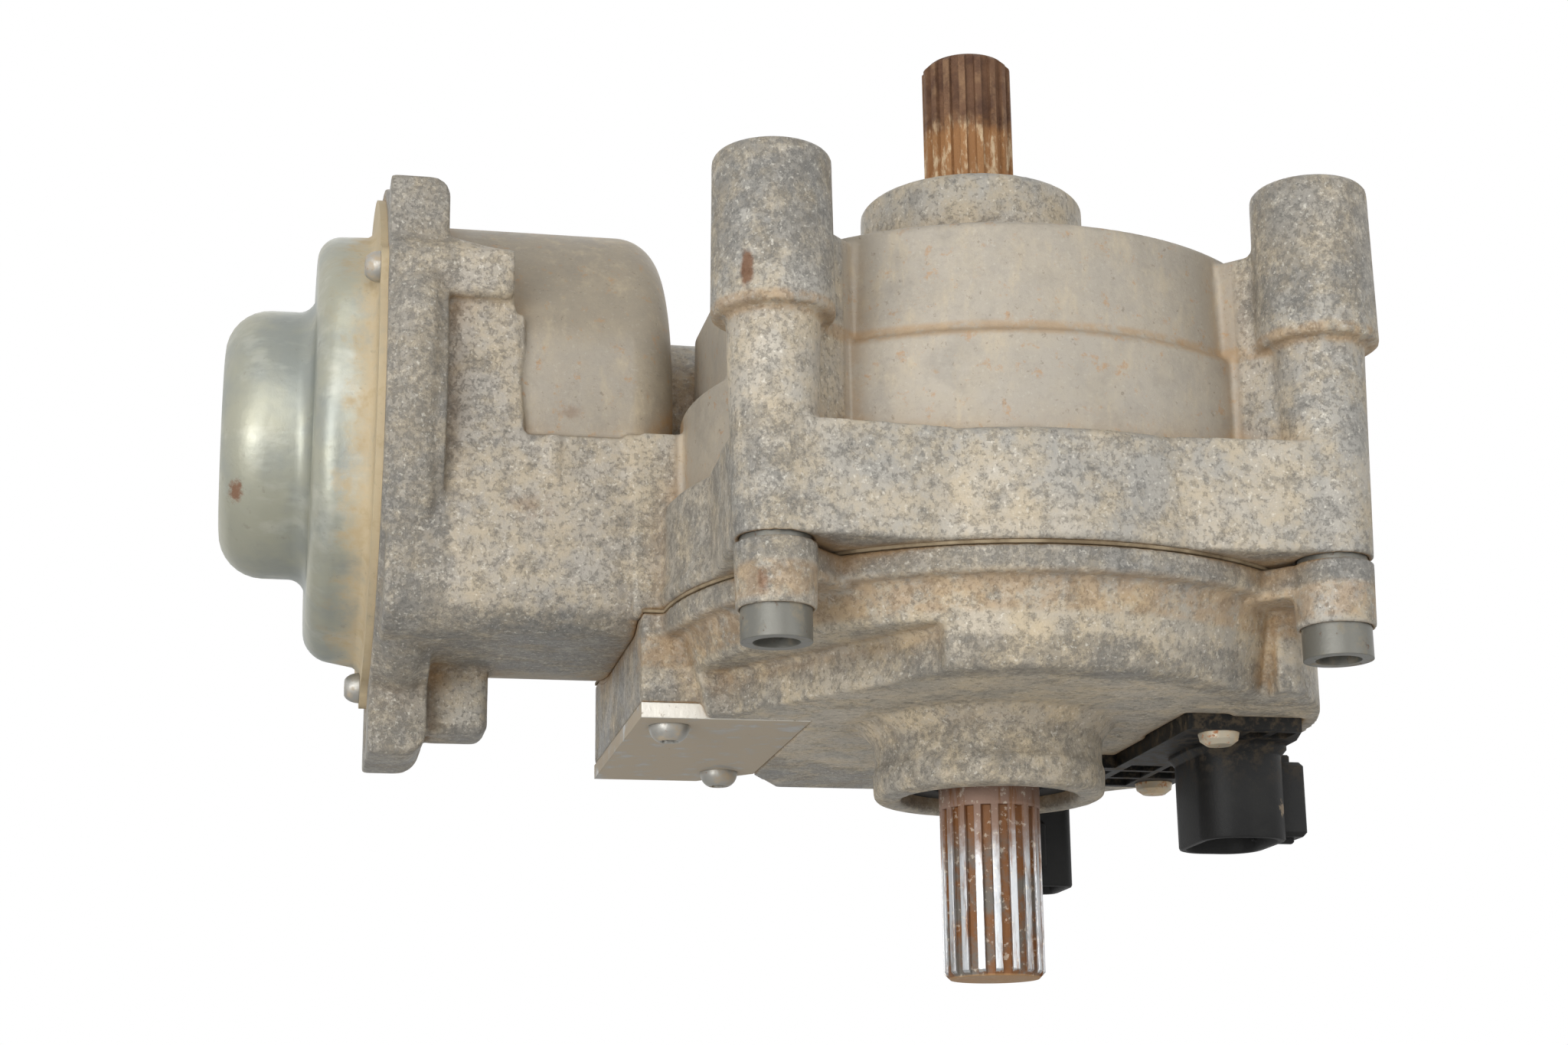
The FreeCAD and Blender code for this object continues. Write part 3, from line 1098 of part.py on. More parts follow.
keep("board_screws", group("board_screw_set", [
    turned("board_screw_" + name, [
        (0, S.board_z - 6.0), (1.5, S.board_z - 6.0), (1.5, board_top), (2.8, board_top),
        (2.8, board_top + 1.8), (0, board_top + 1.8)], (*board_spot(angle), 0))
    for name, angle in BOARD_POSTS.items()]))


# Connector base and its two sockets

base_low = module_top - S.module_t
rim_low = S.module_rim_z


def oblong(x, y, width, length, corner, inset=0.0):
    """Plan of a rectangle with rounded corners about a centre, set in by a thickness."""
    half_w = width / 2 - inset
    half_l = length / 2 - inset
    corner = corner - inset * 0.7
    points = []
    for sx, sy, start in ((1, 1, 0), (-1, 1, 90), (-1, -1, 180), (1, -1, 270)):
        points += bend(x + sx * (half_w - corner), y + sy * (half_l - corner), corner,
                       start, start + 90, 3)
    return points


POWER_PLAN = (S.power_x, S.power_y, S.power_w, S.power_l, 7.0)
SIGNAL_PLAN = (S.signal_x, S.signal_y, S.signal_w, S.signal_l, 3.0)


FOOT_RIM = 1.2


def foot_plan(plan):
    """Plan of a socket's foot, which is a little wider than its shroud."""
    x, y, width, length, corner = plan
    return oblong(x, y, width + FOOT_RIM, length + FOOT_RIM, corner + FOOT_RIM / 2)


def socket(node_name, plan, tip_z, latch):
    """Open shroud hanging from the connector base, with a latch on its outside."""
    shell = padded(node_name + "_shell", oblong(*plan), tip_z, base_low - tip_z)
    foot = padded(node_name + "_foot", foot_plan(plan), rim_low - 1.5, base_low - rim_low + 1.5)
    room = padded(node_name + "_room", oblong(*plan, S.shroud_t), tip_z - 1.0,
                  base_low - tip_z + 1.0)
    keep(node_name, cut(node_name + "_cut", fuse(node_name + "_solid", [shell, foot, latch]),
                        [room]))


power_side = S.power_x + S.power_w / 2
power_latch = box("power_latch", (power_side - 1.0, S.power_y - 5.0, S.power_tip_z + 1.5),
                  (power_side + 6.0, S.power_y + 3.0, S.power_tip_z + 17.0))
signal_side = S.signal_y - S.signal_l / 2
signal_latch = box("signal_latch", (S.signal_x - 3.0, signal_side - 2.2, S.signal_tip_z + 3.0),
                   (S.signal_x + 3.0, signal_side + 1.0, S.signal_tip_z + 14.0))
socket("power_socket", POWER_PLAN, S.power_tip_z, power_latch)
socket("signal_socket", SIGNAL_PLAN, S.signal_tip_z, signal_latch)

power_blades = [box(f"power_blade_{i}", (S.power_x - 4.0, S.power_y + y - 2.5,
                                         S.power_tip_z + 6.0),
                    (S.power_x - 3.0, S.power_y + y + 2.5, S.board_z))
                for i, y in enumerate((-3.5, 3.5))]
signal_pins = [box(f"signal_pin_{i}_{j}", (S.signal_x + x - 0.5, S.signal_y + y - 0.5,
                                           S.signal_tip_z + 6.0),
                   (S.signal_x + x + 0.5, S.signal_y + y + 0.5, S.board_z))
               for i, x in enumerate((-4.5, -1.5, 1.5, 4.5)) for j, y in enumerate((-1.5, 1.5))]
keep("power_terminals", group("power_terminal_set", power_blades))
keep("signal_terminals", group("signal_terminal_set", signal_pins))

POCKETS = [(49.0, -17.0, 53.0, -11.0), (54.5, -17.0, 58.5, -11.0), (38.0, 23.0, 45.0, 29.0),
           (46.5, 23.0, 53.5, 29.0), (38.0, 30.5, 45.0, 38.0), (46.5, 30.5, 53.5, 38.0),
           (38.0, 39.5, 45.0, 48.0), (30.0, 30.5, 36.0, 38.0), (30.0, 39.5, 36.0, 48.0)]
base_plan = padded("base_block", module_plan(), rim_low, module_top - rim_low)
base_cuts = [box(f"base_pocket_{i}", (x0, y0, rim_low - 1.0), (x1, y1, base_low))
             for i, (x0, y0, x1, y1) in enumerate(POCKETS)]
base_cuts += [padded(name + "_seat", foot_plan(plan), rim_low - 1.0, base_low - rim_low + 1.0)
              for name, plan in (("power", POWER_PLAN), ("signal", SIGNAL_PLAN))]
base_cuts += [cylinder("base_screw_hole_" + name, shank_r, 12.0, (x, y, rim_low - 1.0))
              for name, (x, y) in MODULE_SCREWS.items()]
keep("connector_base", cut("connector_base_cut", base_plan,
                           base_cuts + power_blades + signal_pins))
keep("module_screws", group("module_screw_set", [
    screw("module_screw_" + name, S.screw_head_d / 2, 2.4, shank_r, 10.0, (x, y, rim_low))
    for name, (x, y) in MODULE_SCREWS.items()]))


# Write each piece

doc.recompute()
problems = []
for obj in doc.Objects:
    if "Invalid" in obj.State or "Error" in obj.State:
        problems.append(f"{obj.Name}: {obj.State}")
for name, obj in nodes.items():
    if obj.Shape.isNull() or not obj.Shape.isValid() or not obj.Shape.Solids:
        problems.append(f"{name}: shape is empty or not valid")
if problems:
    raise SystemExit("\n".join(problems))
os.makedirs("parts", exist_ok=True)
for name, obj in nodes.items():
    obj.Shape.exportStep(f"parts/{name}.step")
    print(name, len(obj.Shape.Solids), round(obj.Shape.Volume, 1))
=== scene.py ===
"""Looks of an electric power steering unit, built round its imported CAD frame.

Everything is in metres in the frame of the CAD: the origin is the centre of the lower shaft's end
face, Z runs up the shaft, X points away from the motor and Y points to the rear. Sizes below are
written in millimetres and turned into metres where a mesh is made.
"""

import logging
import math
from collections.abc import Callable
from dataclasses import dataclass
from enum import Enum
from typing import NamedTuple

import bmesh
import bpy
import numpy as np
from mathutils import Matrix, Vector


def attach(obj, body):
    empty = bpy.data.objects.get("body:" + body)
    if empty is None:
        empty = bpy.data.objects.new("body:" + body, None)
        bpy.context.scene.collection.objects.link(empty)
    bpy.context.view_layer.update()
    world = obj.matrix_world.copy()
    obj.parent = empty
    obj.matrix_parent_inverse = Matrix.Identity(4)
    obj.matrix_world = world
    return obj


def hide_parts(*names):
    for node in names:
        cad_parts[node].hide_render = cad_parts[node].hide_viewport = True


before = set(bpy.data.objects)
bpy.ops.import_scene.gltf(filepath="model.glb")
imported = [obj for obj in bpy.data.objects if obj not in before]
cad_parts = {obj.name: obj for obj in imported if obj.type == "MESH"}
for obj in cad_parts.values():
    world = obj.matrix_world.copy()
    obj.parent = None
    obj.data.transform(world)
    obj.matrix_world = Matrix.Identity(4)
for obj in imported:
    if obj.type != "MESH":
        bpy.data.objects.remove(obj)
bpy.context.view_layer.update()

MM = 0.001
WORM_Y = 50.0
WORM_Z = 117.0
EAR_PITCH_R = 52.5
EAR_ANGLES = (28.0, 152.0, 270.0)
log = logging.getLogger("steering_unit")


# Shader expressions

def joining(operation: str, reflected: bool = False) -> Callable[["Value", "Number"], "Value"]:
    """Operator of Value that adds a Math node.

    Args:
        operation: Name of the Math node's operation.
        reflected: Whether the value comes second.

    Returns:
        The method.
    """
    def method(self: "Value", other: "Number") -> "Value":
        """Join two values with a Math node."""
        first, second = (other, self) if reflected else (self, other)
        return self.graph.node("ShaderNodeMath", {"operation": operation}, {0: first, 1: second})

    return method


class Value:
    """A shader socket that can be used in Python arithmetic.

    Every operator adds one Math node to the graph that the socket belongs to.
    """

    def __init__(self, graph: "ShaderGraph", socket: bpy.types.NodeSocket) -> None:
        """Wrap a socket.

        Args:
            graph: The graph that the socket's node is in.
            socket: The output socket.
        """
        self.graph = graph
        self.socket = socket

    __add__ = joining("ADD")
    __radd__ = joining("ADD", True)
    __sub__ = joining("SUBTRACT")
    __rsub__ = joining("SUBTRACT", True)
    __mul__ = joining("MULTIPLY")
    __truediv__ = joining("DIVIDE")
    __pow__ = joining("POWER")
    largest = joining("MAXIMUM")

    def size(self) -> "Value":
        """The value without its sign."""
        return self.graph.node("ShaderNodeMath", {"operation": "ABSOLUTE"}, {0: self})


Number = Value | float
Triple = tuple[float, float, float]
Colour = Triple


class Place(NamedTuple):
    """The shaded point in millimetres.

    Attributes:
        x: X of the point.
        y: Y of the point.
        z: Z of the point.
    """

    x: Value
    y: Value
    z: Value

    def from_shaft(self) -> Value:
        """Distance from the steering shaft's axis."""
        return (self.x * self.x + self.y * self.y) ** 0.5

    def from_worm(self) -> Value:
        """Distance from the worm's axis."""
        return ((self.y - WORM_Y) ** 2.0 + (self.z - WORM_Z) ** 2.0) ** 0.5

    def away(self, middle: Triple, stretch: Triple = (1, 1, 1)) -> Value:
        """Distance from a point, with each axis divided by its stretch."""
        dx, dy, dz = ((axis - at) / far for axis, at, far in zip(self, middle, stretch))
        return (dx * dx + dy * dy + dz * dz) ** 0.5


def srgb(red: int, green: int, blue: int) -> Colour:
    """Linear colour of a screen colour given as three bytes.

    Args:
        red: Red byte.
        green: Green byte.
        blue: Blue byte.

    Returns:
        The colour in linear light.
    """
    def linear(byte: int) -> float:
        """One channel in linear light."""
        share = byte / 255.0
        return share / 12.92 if share <= 0.04045 else ((share + 0.055) / 1.055) ** 2.4

    return linear(red), linear(green), linear(blue)


class ShaderGraph:
    """Node tree of one material, with short calls for what the finishes need."""

    def __init__(self, name: str) -> None:
        """Make an empty material with a Principled shader.

        Args:
            name: Name of the material.
        """
        self.material = bpy.data.materials.new(name)
        self.material.use_nodes = True
        self.tree = self.material.node_tree
        self.shader = self.tree.nodes["Principled BSDF"]
        coordinates = self.tree.nodes.new("ShaderNodeTexCoord")
        self.place = coordinates.outputs["Object"]

    def node(self, kind: str, settings: dict | None = None, inputs: dict | None = None,
             output: int | str = 0) -> Value:
        """Add a node.

        Args:
            kind: Node type.
            settings: Attributes to set before the inputs.
            inputs: Values or links by socket name or number.
            output: Which output to return.

        Returns:
            The chosen output.
        """
        made = self.tree.nodes.new(kind)
        for key, value in (settings or {}).items():
            setattr(made, key, value)
        for key, value in (inputs or {}).items():
            self.feed(made.inputs[key], value)
        return Value(self, made.outputs[output])

    def feed(self, socket: bpy.types.NodeSocket, value: object) -> None:
        """Link or set an input socket.

        Args:
            socket: The socket to feed.
            value: A wrapped socket, a bare socket, a number or a colour.
        """
        if isinstance(value, Value):
            self.tree.links.new(value.socket, socket)
        elif isinstance(value, bpy.types.NodeSocket):
            self.tree.links.new(value, socket)
        elif isinstance(value, tuple) and socket.type == "RGBA":
            socket.default_value = (*value[:3], 1.0)
        else:
            socket.default_value = value

    def stretched(self, scale: Triple, shift: tuple = (0, 0, 0)) -> Value:
        """Object coordinates in millimetres, scaled per axis and moved."""
        return self.node("ShaderNodeMapping", {}, {"Vector": self.place, "Scale": tuple(
            s / MM for s in scale), "Location": tuple(shift)})

    def axes(self) -> Place:
        """X, Y and Z of the shaded point in millimetres."""
        split = self.tree.nodes.new("ShaderNodeSeparateXYZ")
        self.feed(split.inputs[0], self.place)
        return Place(*[Value(self, split.outputs[i]) * (1.0 / MM) for i in range(3)])

    def noise(self, size: float, detail: float = 3.0, rough: float = 0.55, shift: float = 0.0,
              scale: Triple = (1, 1, 1)) -> Value:
        """Smooth noise whose blobs are about size millimetres wide.

        Args:
            size: Width of a blob in millimetres.
            detail: Number of finer octaves.
            rough: Strength of the finer octaves.
            shift: Moves the pattern, so that two noises differ.
            scale: Stretch per axis; a small number draws the pattern out along that axis.

        Returns:
            Noise between 0 and 1.
        """
        where = self.stretched(scale, (shift, shift * 1.7, shift * 0.6))
        return self.node("ShaderNodeTexNoise", {}, {
            "Vector": where, "Scale": 1.0 / size, "Detail": detail, "Roughness": rough})

    def step(self, value: Number, low: float, high: float, bottom: float = 0.0,
             top: float = 1.0) -> Value:
        """Smooth step of value from low to high, giving bottom to top."""
        return self.node("ShaderNodeMapRange", {"interpolation_type": "SMOOTHSTEP"}, {
            "Value": value, "From Min": low, "From Max": high, "To Min": bottom, "To Max": top})

    def wave(self, value: Value, half: float) -> Value:
        """Triangle wave of value: up from 0 to half, and down again."""
        return self.node("ShaderNodeMath", {"operation": "PINGPONG"}, {0: value, 1: half})

    def band(self, value: Number, middle: float, half: float, soft: float) -> Value:
        """One inside a band of values, falling smoothly to zero outside it."""
        return self.step((value - middle).size(), half + soft, half)

    def patches(self, low: float, high: float, *grain: object) -> Value:
        """Patches of noise: 0 where it is below low, 1 where it is above high.

        Args:
            low: Noise at which a patch begins.
            high: Noise at which it is full.
            grain: What noise() takes.

        Returns:
            Share of patch, from 0 to 1.
        """
        return self.step(self.noise(*grain), low, high)

    def mix(self, share: Number, first: object, second: object) -> Value:
        """Colour between first and second.

        Args:
            share: 0 gives the first colour and 1 the second.
            first: Colour or link.
            second: Colour or link.

        Returns:
            The mixed colour.
        """
        made = self.tree.nodes.new("ShaderNodeMix")
        made.data_type = "RGBA"
        self.feed(made.inputs[0], share)
        self.feed(made.inputs[6], first)
        self.feed(made.inputs[7], second)
        return Value(self, made.outputs[2])

    def bump(self, height: Value, depth_mm: float, normal: Value | None = None) -> Value:
        """Normal bent by a height.

        Args:
            height: Height from 0 to 1.
            depth_mm: Depth that a height of 1 stands for, in millimetres.
            normal: Normal to start from.

        Returns:
            The bent normal.
        """
        inputs = {"Height": height, "Distance": depth_mm * MM, "Strength": 1.0}
        if normal is not None:
            inputs["Normal"] = normal
        return self.node("ShaderNodeBump", {}, inputs)

    def soft_edges(self, radius_mm: float) -> Value:
        """Normal that rounds sharp edges by a radius in millimetres."""
        return self.node("ShaderNodeBevel", {"samples": 4}, {"Radius": radius_mm * MM})

    def occlusion(self, reach_mm: float) -> Value:
        """How open the surface is: 1 in the open, near 0 deep in a corner."""
        return self.node("ShaderNodeAmbientOcclusion", {"samples": 4},
                         {"Distance": reach_mm * MM}, "AO")

    def finish(self, **sockets: object) -> bpy.types.Material:
        """Feed the Principled shader and return the material.

        Args:
            sockets: Values by socket name with underscores for spaces.

        Returns:
            The material.
        """
        for key, value in sockets.items():
            self.feed(self.shader.inputs[key.replace("_", " ")], value)
        return self.material


# Finishes

@dataclass(frozen=True)
class Finish:
    """A named surface treatment.

    Attributes:
        name: Name of the material.
    """

    name: str

    def build(self) -> bpy.types.Material:
        """Make the material."""
        raise NotImplementedError


@dataclass(frozen=True)
class CastAluminium(Finish):
    """Weathered aluminium casting: sand-coloured dust, dark blotches, pale flecks and rusty dirt in
    its corners, calmer on the machined-looking tiers and on the motor barrel. More dark blotches on
    the left of the case and along the drum's lower edge are painted shade.

    Attributes:
        clean: Main colour.
        cool: Colour of the cooler clouds.
        dark: Colour of blotches and specks.
        dust: Colour of dust.
        fleck: Colour of small pale spots.
        dirt: Colour of dirt in corners.
        tan: Colour of the stains on the calm places.
        pit: Colour of the small pits there.
        smoke: Colour of the grey clouds there.
        rust: Colour of the rust marks.
        calm: Colour of the tiers, which are one of the calm places.
        barrel: Colour of the motor barrel.
        neck: Colour of the neck below it.
        lip_z: Height of the case's lower lip in millimetres.
        foot_z: Height of the drum's lower edge in millimetres, where a band of painted shade runs.
        shoulder_z: Height of the shoulder on the front posts in millimetres.
    """

    clean: Colour = srgb(184, 176, 162)
    cool: Colour = srgb(160, 157, 150)
    dark: Colour = srgb(92, 91, 88)
    dust: Colour = srgb(198, 181, 151)
    fleck: Colour = srgb(232, 227, 214)
    dirt: Colour = srgb(170, 134, 88)
    tan: Colour = srgb(172, 134, 94)
    pit: Colour = srgb(112, 100, 84)
    smoke: Colour = srgb(128, 124, 116)
    rust: Colour = srgb(112, 72, 40)
    calm: Colour = srgb(166, 158, 145)
    barrel: Colour = srgb(148, 138, 121)
    neck: Colour = srgb(168, 161, 150)
    lip_z: float = 69.2
    foot_z: float = 52.5
    shoulder_z: float = 113.5

    def build(self) -> bpy.types.Material:
        """Make the material."""
        g = ShaderGraph(self.name)
        at = g.axes()
        x, y, z = at
        around = at.from_shaft()
        tiers = g.step(around, 63.6, 62.4) * g.step(z, 92.4, 93.6) * g.step(y, 24.0, 10.0)
        tiers = tiers * g.step(z, 149.0, 147.5)
        barrel = g.step(at.from_worm(), 49.4, 48.9) * g.step(x, -60.0, -63.0)
        barrel = barrel * g.step(x, -109.5, -108.5)
        calm = tiers.largest(barrel)
        rough = 1.0 - calm * 0.80
        underside = g.step(z, 66.0, 62.0) * g.step(around, 64.0, 62.0)

        tone = g.mix(g.patches(0.34, 0.66, 24.0, 4.0), self.clean, self.cool)
        tone = g.mix(tiers * 0.85, tone, self.calm)
        tone = g.mix(barrel * 0.9, tone, self.barrel)
        neck = g.step(x, -70.0, -72.0) * g.step(x, -109.0, -107.0) * g.step(y, 4.0, 2.0)
        tone = g.mix(neck * 0.6, tone, self.neck)
        dust = g.patches(0.40, 0.66, 8.5, 7.0, 0.72, 7.0) * (1.0 - calm * 0.75)
        tone = g.mix(dust * 0.6 + underside * 0.22, tone, self.dust)
        # worn: share of extra dark blotches and specks, painted shade on the left of the case and
        # along the drum's lower edge, elsewhere just darker
        worn = self._darkened_places(g, at, around)
        blotch = g.noise(5.0, 9.0, 0.84, 3.0) + worn * 0.12
        blotch = g.step(blotch, 0.50, 0.66) * rough
        tone = g.mix(blotch * 0.52, tone, self.dark)
        region = g.patches(0.36, 0.62, 16.0, 3.0, 0.6, 27.0)
        specks = g.noise(1.3, 5.0, 0.80, 17.0) + worn * 0.04 + region * 0.035
        specks = g.step(specks, 0.53, 0.66) * rough
        tone = g.mix(specks * 0.40, tone, self.dark)
        flecks = g.patches(0.58, 0.72, 0.8, 3.0, 0.55, 11.0)
        tone = g.mix(flecks * rough * 0.45, tone, self.fleck)
        for share, colour, grain in (
                (0.35, self.dust, (0.50, 0.70, 5.0, 5.0, 0.7, 23.0, (1.0, 1.0, 0.4))),
                (0.60, self.tan, (0.58, 0.68, 3.4, 5.0, 0.72, 37.0)),
                (0.50, self.pit, (0.62, 0.70, 1.4, 4.0, 0.7, 53.0)),
                (0.35, self.smoke, (0.50, 0.72, 13.0, 5.0, 0.7, 43.0))):
            tone = g.mix(g.patches(*grain) * calm * share, tone, colour)

        shelf = g.band(z, 63.2, 2.4, 1.6) * g.step(around, 58.0, 60.5) * g.step(y, 10.0, 4.0)
        ring = g.band(z, self.shoulder_z, 0.9, 1.2) * g.step(y, -42.0, -46.0)
        soiled = shelf * 0.42 + ring * 0.45
        soiled = soiled * g.patches(0.34, 0.56, 4.0, 5.0, 0.72, 47.0)
        tone = g.mix(soiled, tone, self.dirt)
        hollow = 1.0 - g.occlusion(7.0)
        corner = g.step(hollow, 0.16, 0.52) * g.patches(0.24, 0.56, 6.0, 5.0, 0.7, 31.0)
        tone = g.mix(corner * 0.72, tone, self.dirt)
        tone = g.mix(self._rust_marks(g, at), tone, self.rust)

        grain = g.noise(1.3, 4.0, 0.65, 5.0) * 0.5 + g.noise(4.5, 4.0, 0.6, 9.0) * 0.5
        height = grain * (1.0 - calm * 0.72) + specks * -0.16 + blotch * 0.1
        return g.finish(
            Base_Color=tone,
            Metallic=(1.0 - dust) * 0.30,
            Roughness=0.56 + dust * 0.2 + corner * 0.14 + blotch * -0.08,
            Normal=g.bump(height, 0.42))

    def _darkened_places(self, g: ShaderGraph, at: Place, around: Value) -> Value:
        """Where the casting is darker: flange, left of the case, lip, drum's foot and post tops; on
        the left of the case and along the drum's foot this darkening is painted shade.

        Args:
            g: The graph.
            at: The shaded point.
            around: Distance from the shaft's axis in millimetres.

        Returns:
            Share of darkening, from 0 to 1, painted shade in part.
        """
        x, y, z = at
        flange = g.step(x, -106.0, -109.0)
        # painted shade: more dark blotches on the left side of the case
        left = g.step(x, -38.0, -56.0) * g.step(x, -78.0, -72.0) * g.step(z, 98.0, 90.0) * 0.6
        lip = g.band(z, self.lip_z, 1.6, 2.0) * g.step(around, 60.0, 62.0)
        # painted shade: a band of extra dark blotches along the drum's lower edge
        foot = g.band(z, self.foot_z, 2.4, 2.2) * g.step(around, 48.0, 52.0)
        posts = g.step(y, -50.0, -54.0) * g.step(z, 112.0, 124.0)
        mouth = g.step(around, 26.0, 25.0) * g.step(z, 48.0, 46.0)
        worn = flange.largest(left).largest(lip).largest(foot * g.step(x, 60.0, -10.0, 0.55, 1.0))
        return worn.largest(posts * 0.8).largest(mouth * 0.6)

    def _rust_marks(self, g: ShaderGraph, at: Place) -> Value:
        """Rust runs on the left post and a few spots on the neck.

        Args:
            g: The graph.
            at: The shaded point.

        Returns:
            Share of rust, from 0 to 1.
        """
        run = at.away((-60.6, -66.4, 119.2), (1.5, 2.5, 4.6))
        foot = at.away((-57.6, -63.5, 62.6), (2.4, 3.0, 3.4))
        spot = at.away((-92.0, 1.0, 92.0), (7.0, 4.0, 5.0))
        high = at.away((-84.0, 4.0, 112.5), (3.6, 6.0, 2.2))
        broken = g.noise(2.0, 4.0, 0.7, 41.0)
        marks = g.step(run + broken, 1.45, 0.95) * 0.85
        marks = marks.largest(g.step(foot + broken * 1.6, 1.6, 0.9) * 0.7)
        marks = marks.largest(g.step(spot + broken * 2.2, 1.9, 1.1) * 0.32)
        return marks.largest(g.step(high + broken * 1.6, 1.8, 1.1) * 0.34)


@dataclass(frozen=True)
class RustedSteel(Finish):
    """Brown rust over a splined shaft, turning orange and pale near the collar.

    Attributes:
        brown: Main colour.
        deep: Colour of the darkest patches.
        worn: Colour of the rubbed ridges.
        orange: Colour of the fresh rust near the collar.
        pale: Colour of the dust that lies in it.
        orange_top: Height in millimetres below which the fresh rust shows.
    """

    brown: Colour = srgb(112, 80, 56)
    deep: Colour = srgb(82, 54, 36)
    worn: Colour = srgb(152, 120, 90)
    orange: Colour = srgb(164, 118, 72)
    pale: Colour = srgb(214, 192, 158)
    orange_top: float = 180.0

    def build(self) -> bpy.types.Material:
        """Make the material."""
        g = ShaderGraph(self.name)
        at = g.axes()
        around = at.from_shaft()
        tone = g.mix(g.patches(0.38, 0.62, 7.0, 5.0, 0.65, 2.0), self.brown, self.deep)
        ridge = g.step(around, 8.8, 9.35) * g.patches(0.46, 0.62, 5.0, 5.0, 0.7, 9.0)
        tone = g.mix(ridge * 0.6, tone, self.worn)
        edge = at.z + g.noise(3.0, 3.0, 0.6, 12.0) * 8.0
        fresh = g.step(edge, self.orange_top + 4.0, self.orange_top - 2.0)
        tone = g.mix(fresh * 0.8, tone, self.orange)
        chalk = g.patches(0.50, 0.64, 2.2, 5.0, 0.7, 19.0, (1.0, 1.0, 0.35)) * fresh
        tone = g.mix(chalk * 0.8, tone, self.pale)
        grit = g.noise(0.9, 4.0, 0.7, 4.0)
        return g.finish(Base_Color=tone, Roughness=0.62 + grit * 0.25, Metallic=ridge * 0.25,
                        Normal=g.bump(grit + ridge * 0.2, 0.28, g.soft_edges(0.25)))


@dataclass(frozen=True)
class WornSpline(Finish):
    """Machined steel with bright ridges and rust left in the grooves.

    Attributes:
        bright: Colour of the rubbed ridges.
        grey: Colour of the plain steel.
        rust: Colour of the rust in the grooves.
        dusty: Colour of the dusty end.
        chalk: Colour of the pale specks.
        ridge_r: Radius in millimetres at which a ridge is rubbed bright.
    """

    bright: Colour = srgb(188, 190, 192)
    grey: Colour = srgb(112, 106, 98)
    rust: Colour = srgb(128, 84, 46)
    dusty: Colour = srgb(180, 142, 98)
    chalk: Colour = srgb(218, 208, 190)
    ridge_r: float = 9.55

    def build(self) -> bpy.types.Material:
        """Make the material."""
        g = ShaderGraph(self.name)
        at = g.axes()
        around = at.from_shaft()
        scratch = g.noise(1.6, 4.0, 0.7, 3.0, (1.0, 1.0, 0.12))
        ridge = g.step(around + (scratch - 0.5) * 0.7, self.ridge_r - 0.25, self.ridge_r + 0.1)
        tone = g.mix(g.patches(0.40, 0.62, 6.0, 5.0, 0.7, 8.0), self.rust, self.grey)
        tone = g.mix(ridge * g.step(scratch, 0.30, 0.52), tone, self.bright)
        high = g.step(at.z + g.noise(4.0, 4.0, 0.7, 15.0) * 14.0, 27.0, 38.0)
        tone = g.mix(high * 0.8, tone, self.rust)
        chalk = g.patches(0.58, 0.68, 1.3, 3.0, 0.6, 21.0)
        tone = g.mix(chalk * 0.5, tone, self.chalk)
        end = g.step(at.z, 0.5, 0.1) * g.step(around, 9.4, 9.0)
        tone = g.mix(end * 0.7, tone, self.dusty)
        grit = g.noise(1.0, 4.0, 0.65, 6.0)
        clear = ridge * (1.0 - high) * (1.0 - end)
        return g.finish(Base_Color=tone, Metallic=0.25 + clear * 0.65,
                        Roughness=0.58 + clear * -0.26 + grit * 0.12,
                        Normal=g.bump(grit * 0.6 + scratch * 0.4, 0.16, g.soft_edges(0.3)))


@dataclass(frozen=True)
class ZincPressing(Finish):
    """Dull greenish-grey zinc on pressed steel, with dust near the flange and one chip of rust.

    Attributes:
        zinc: Main colour.
        cool: Colour of the bluer patches.
        milky: Colour of pale smears.
        dust: Colour of the dust near the rim.
        soil: Colour of the dirt on the large dish.
        grime: Colour of the small dark specks.
        rust: Colour of the rust chip.
        chip: Place of the rust chip in millimetres.
    """

    zinc: Colour = srgb(166, 165, 148)
    cool: Colour = srgb(146, 150, 144)
    milky: Colour = srgb(198, 198, 186)
    dust: Colour = srgb(196, 176, 140)
    soil: Colour = srgb(168, 148, 112)
    grime: Colour = srgb(120, 116, 104)
    rust: Colour = srgb(110, 66, 36)
    chip: Triple = (-150.0, 26.7, 100.2)

    def build(self) -> bpy.types.Material:
        """Make the material."""
        g = ShaderGraph(self.name)
        at = g.axes()
        tone = g.mix(g.patches(0.36, 0.64, 22.0, 4.0, 0.6, 4.0), self.zinc, self.cool)
        smear = g.patches(0.52, 0.70, 7.0, 4.0, 0.6, 8.0, (0.5, 1.0, 1.0))
        tone = g.mix(smear * 0.35, tone, self.milky)
        cloud = g.noise(6.0, 5.0, 0.7, 14.0)
        rim = g.step(at.x + cloud * 14.0, -123.0, -115.0)
        tone = g.mix(rim * 0.8, tone, self.dust)
        dirty = g.step(cloud, 0.50, 0.68) * g.step(at.x, -136.0, -126.0)
        tone = g.mix(dirty * 0.5, tone, self.soil)
        grime = g.patches(0.60, 0.72, 2.2, 5.0, 0.7, 20.0)
        tone = g.mix(grime * 0.3, tone, self.grime)
        far = at.away(self.chip, (2.4, 6.0, 3.0)) + g.noise(1.6, 4.0, 0.7, 33.0) * 1.4
        chip = g.step(far, 1.7, 1.2)
        tone = g.mix(chip * 0.85, tone, self.rust)
        dull = (rim * 0.8).largest(chip)
        grain = g.noise(2.4, 4.0, 0.6, 3.0)
        return g.finish(Base_Color=tone, Metallic=(1.0 - dull) * 0.5,
                        Roughness=0.36 + dull * 0.34 + grain * 0.16,
                        Normal=g.bump(grain + chip * -0.6, 0.10))


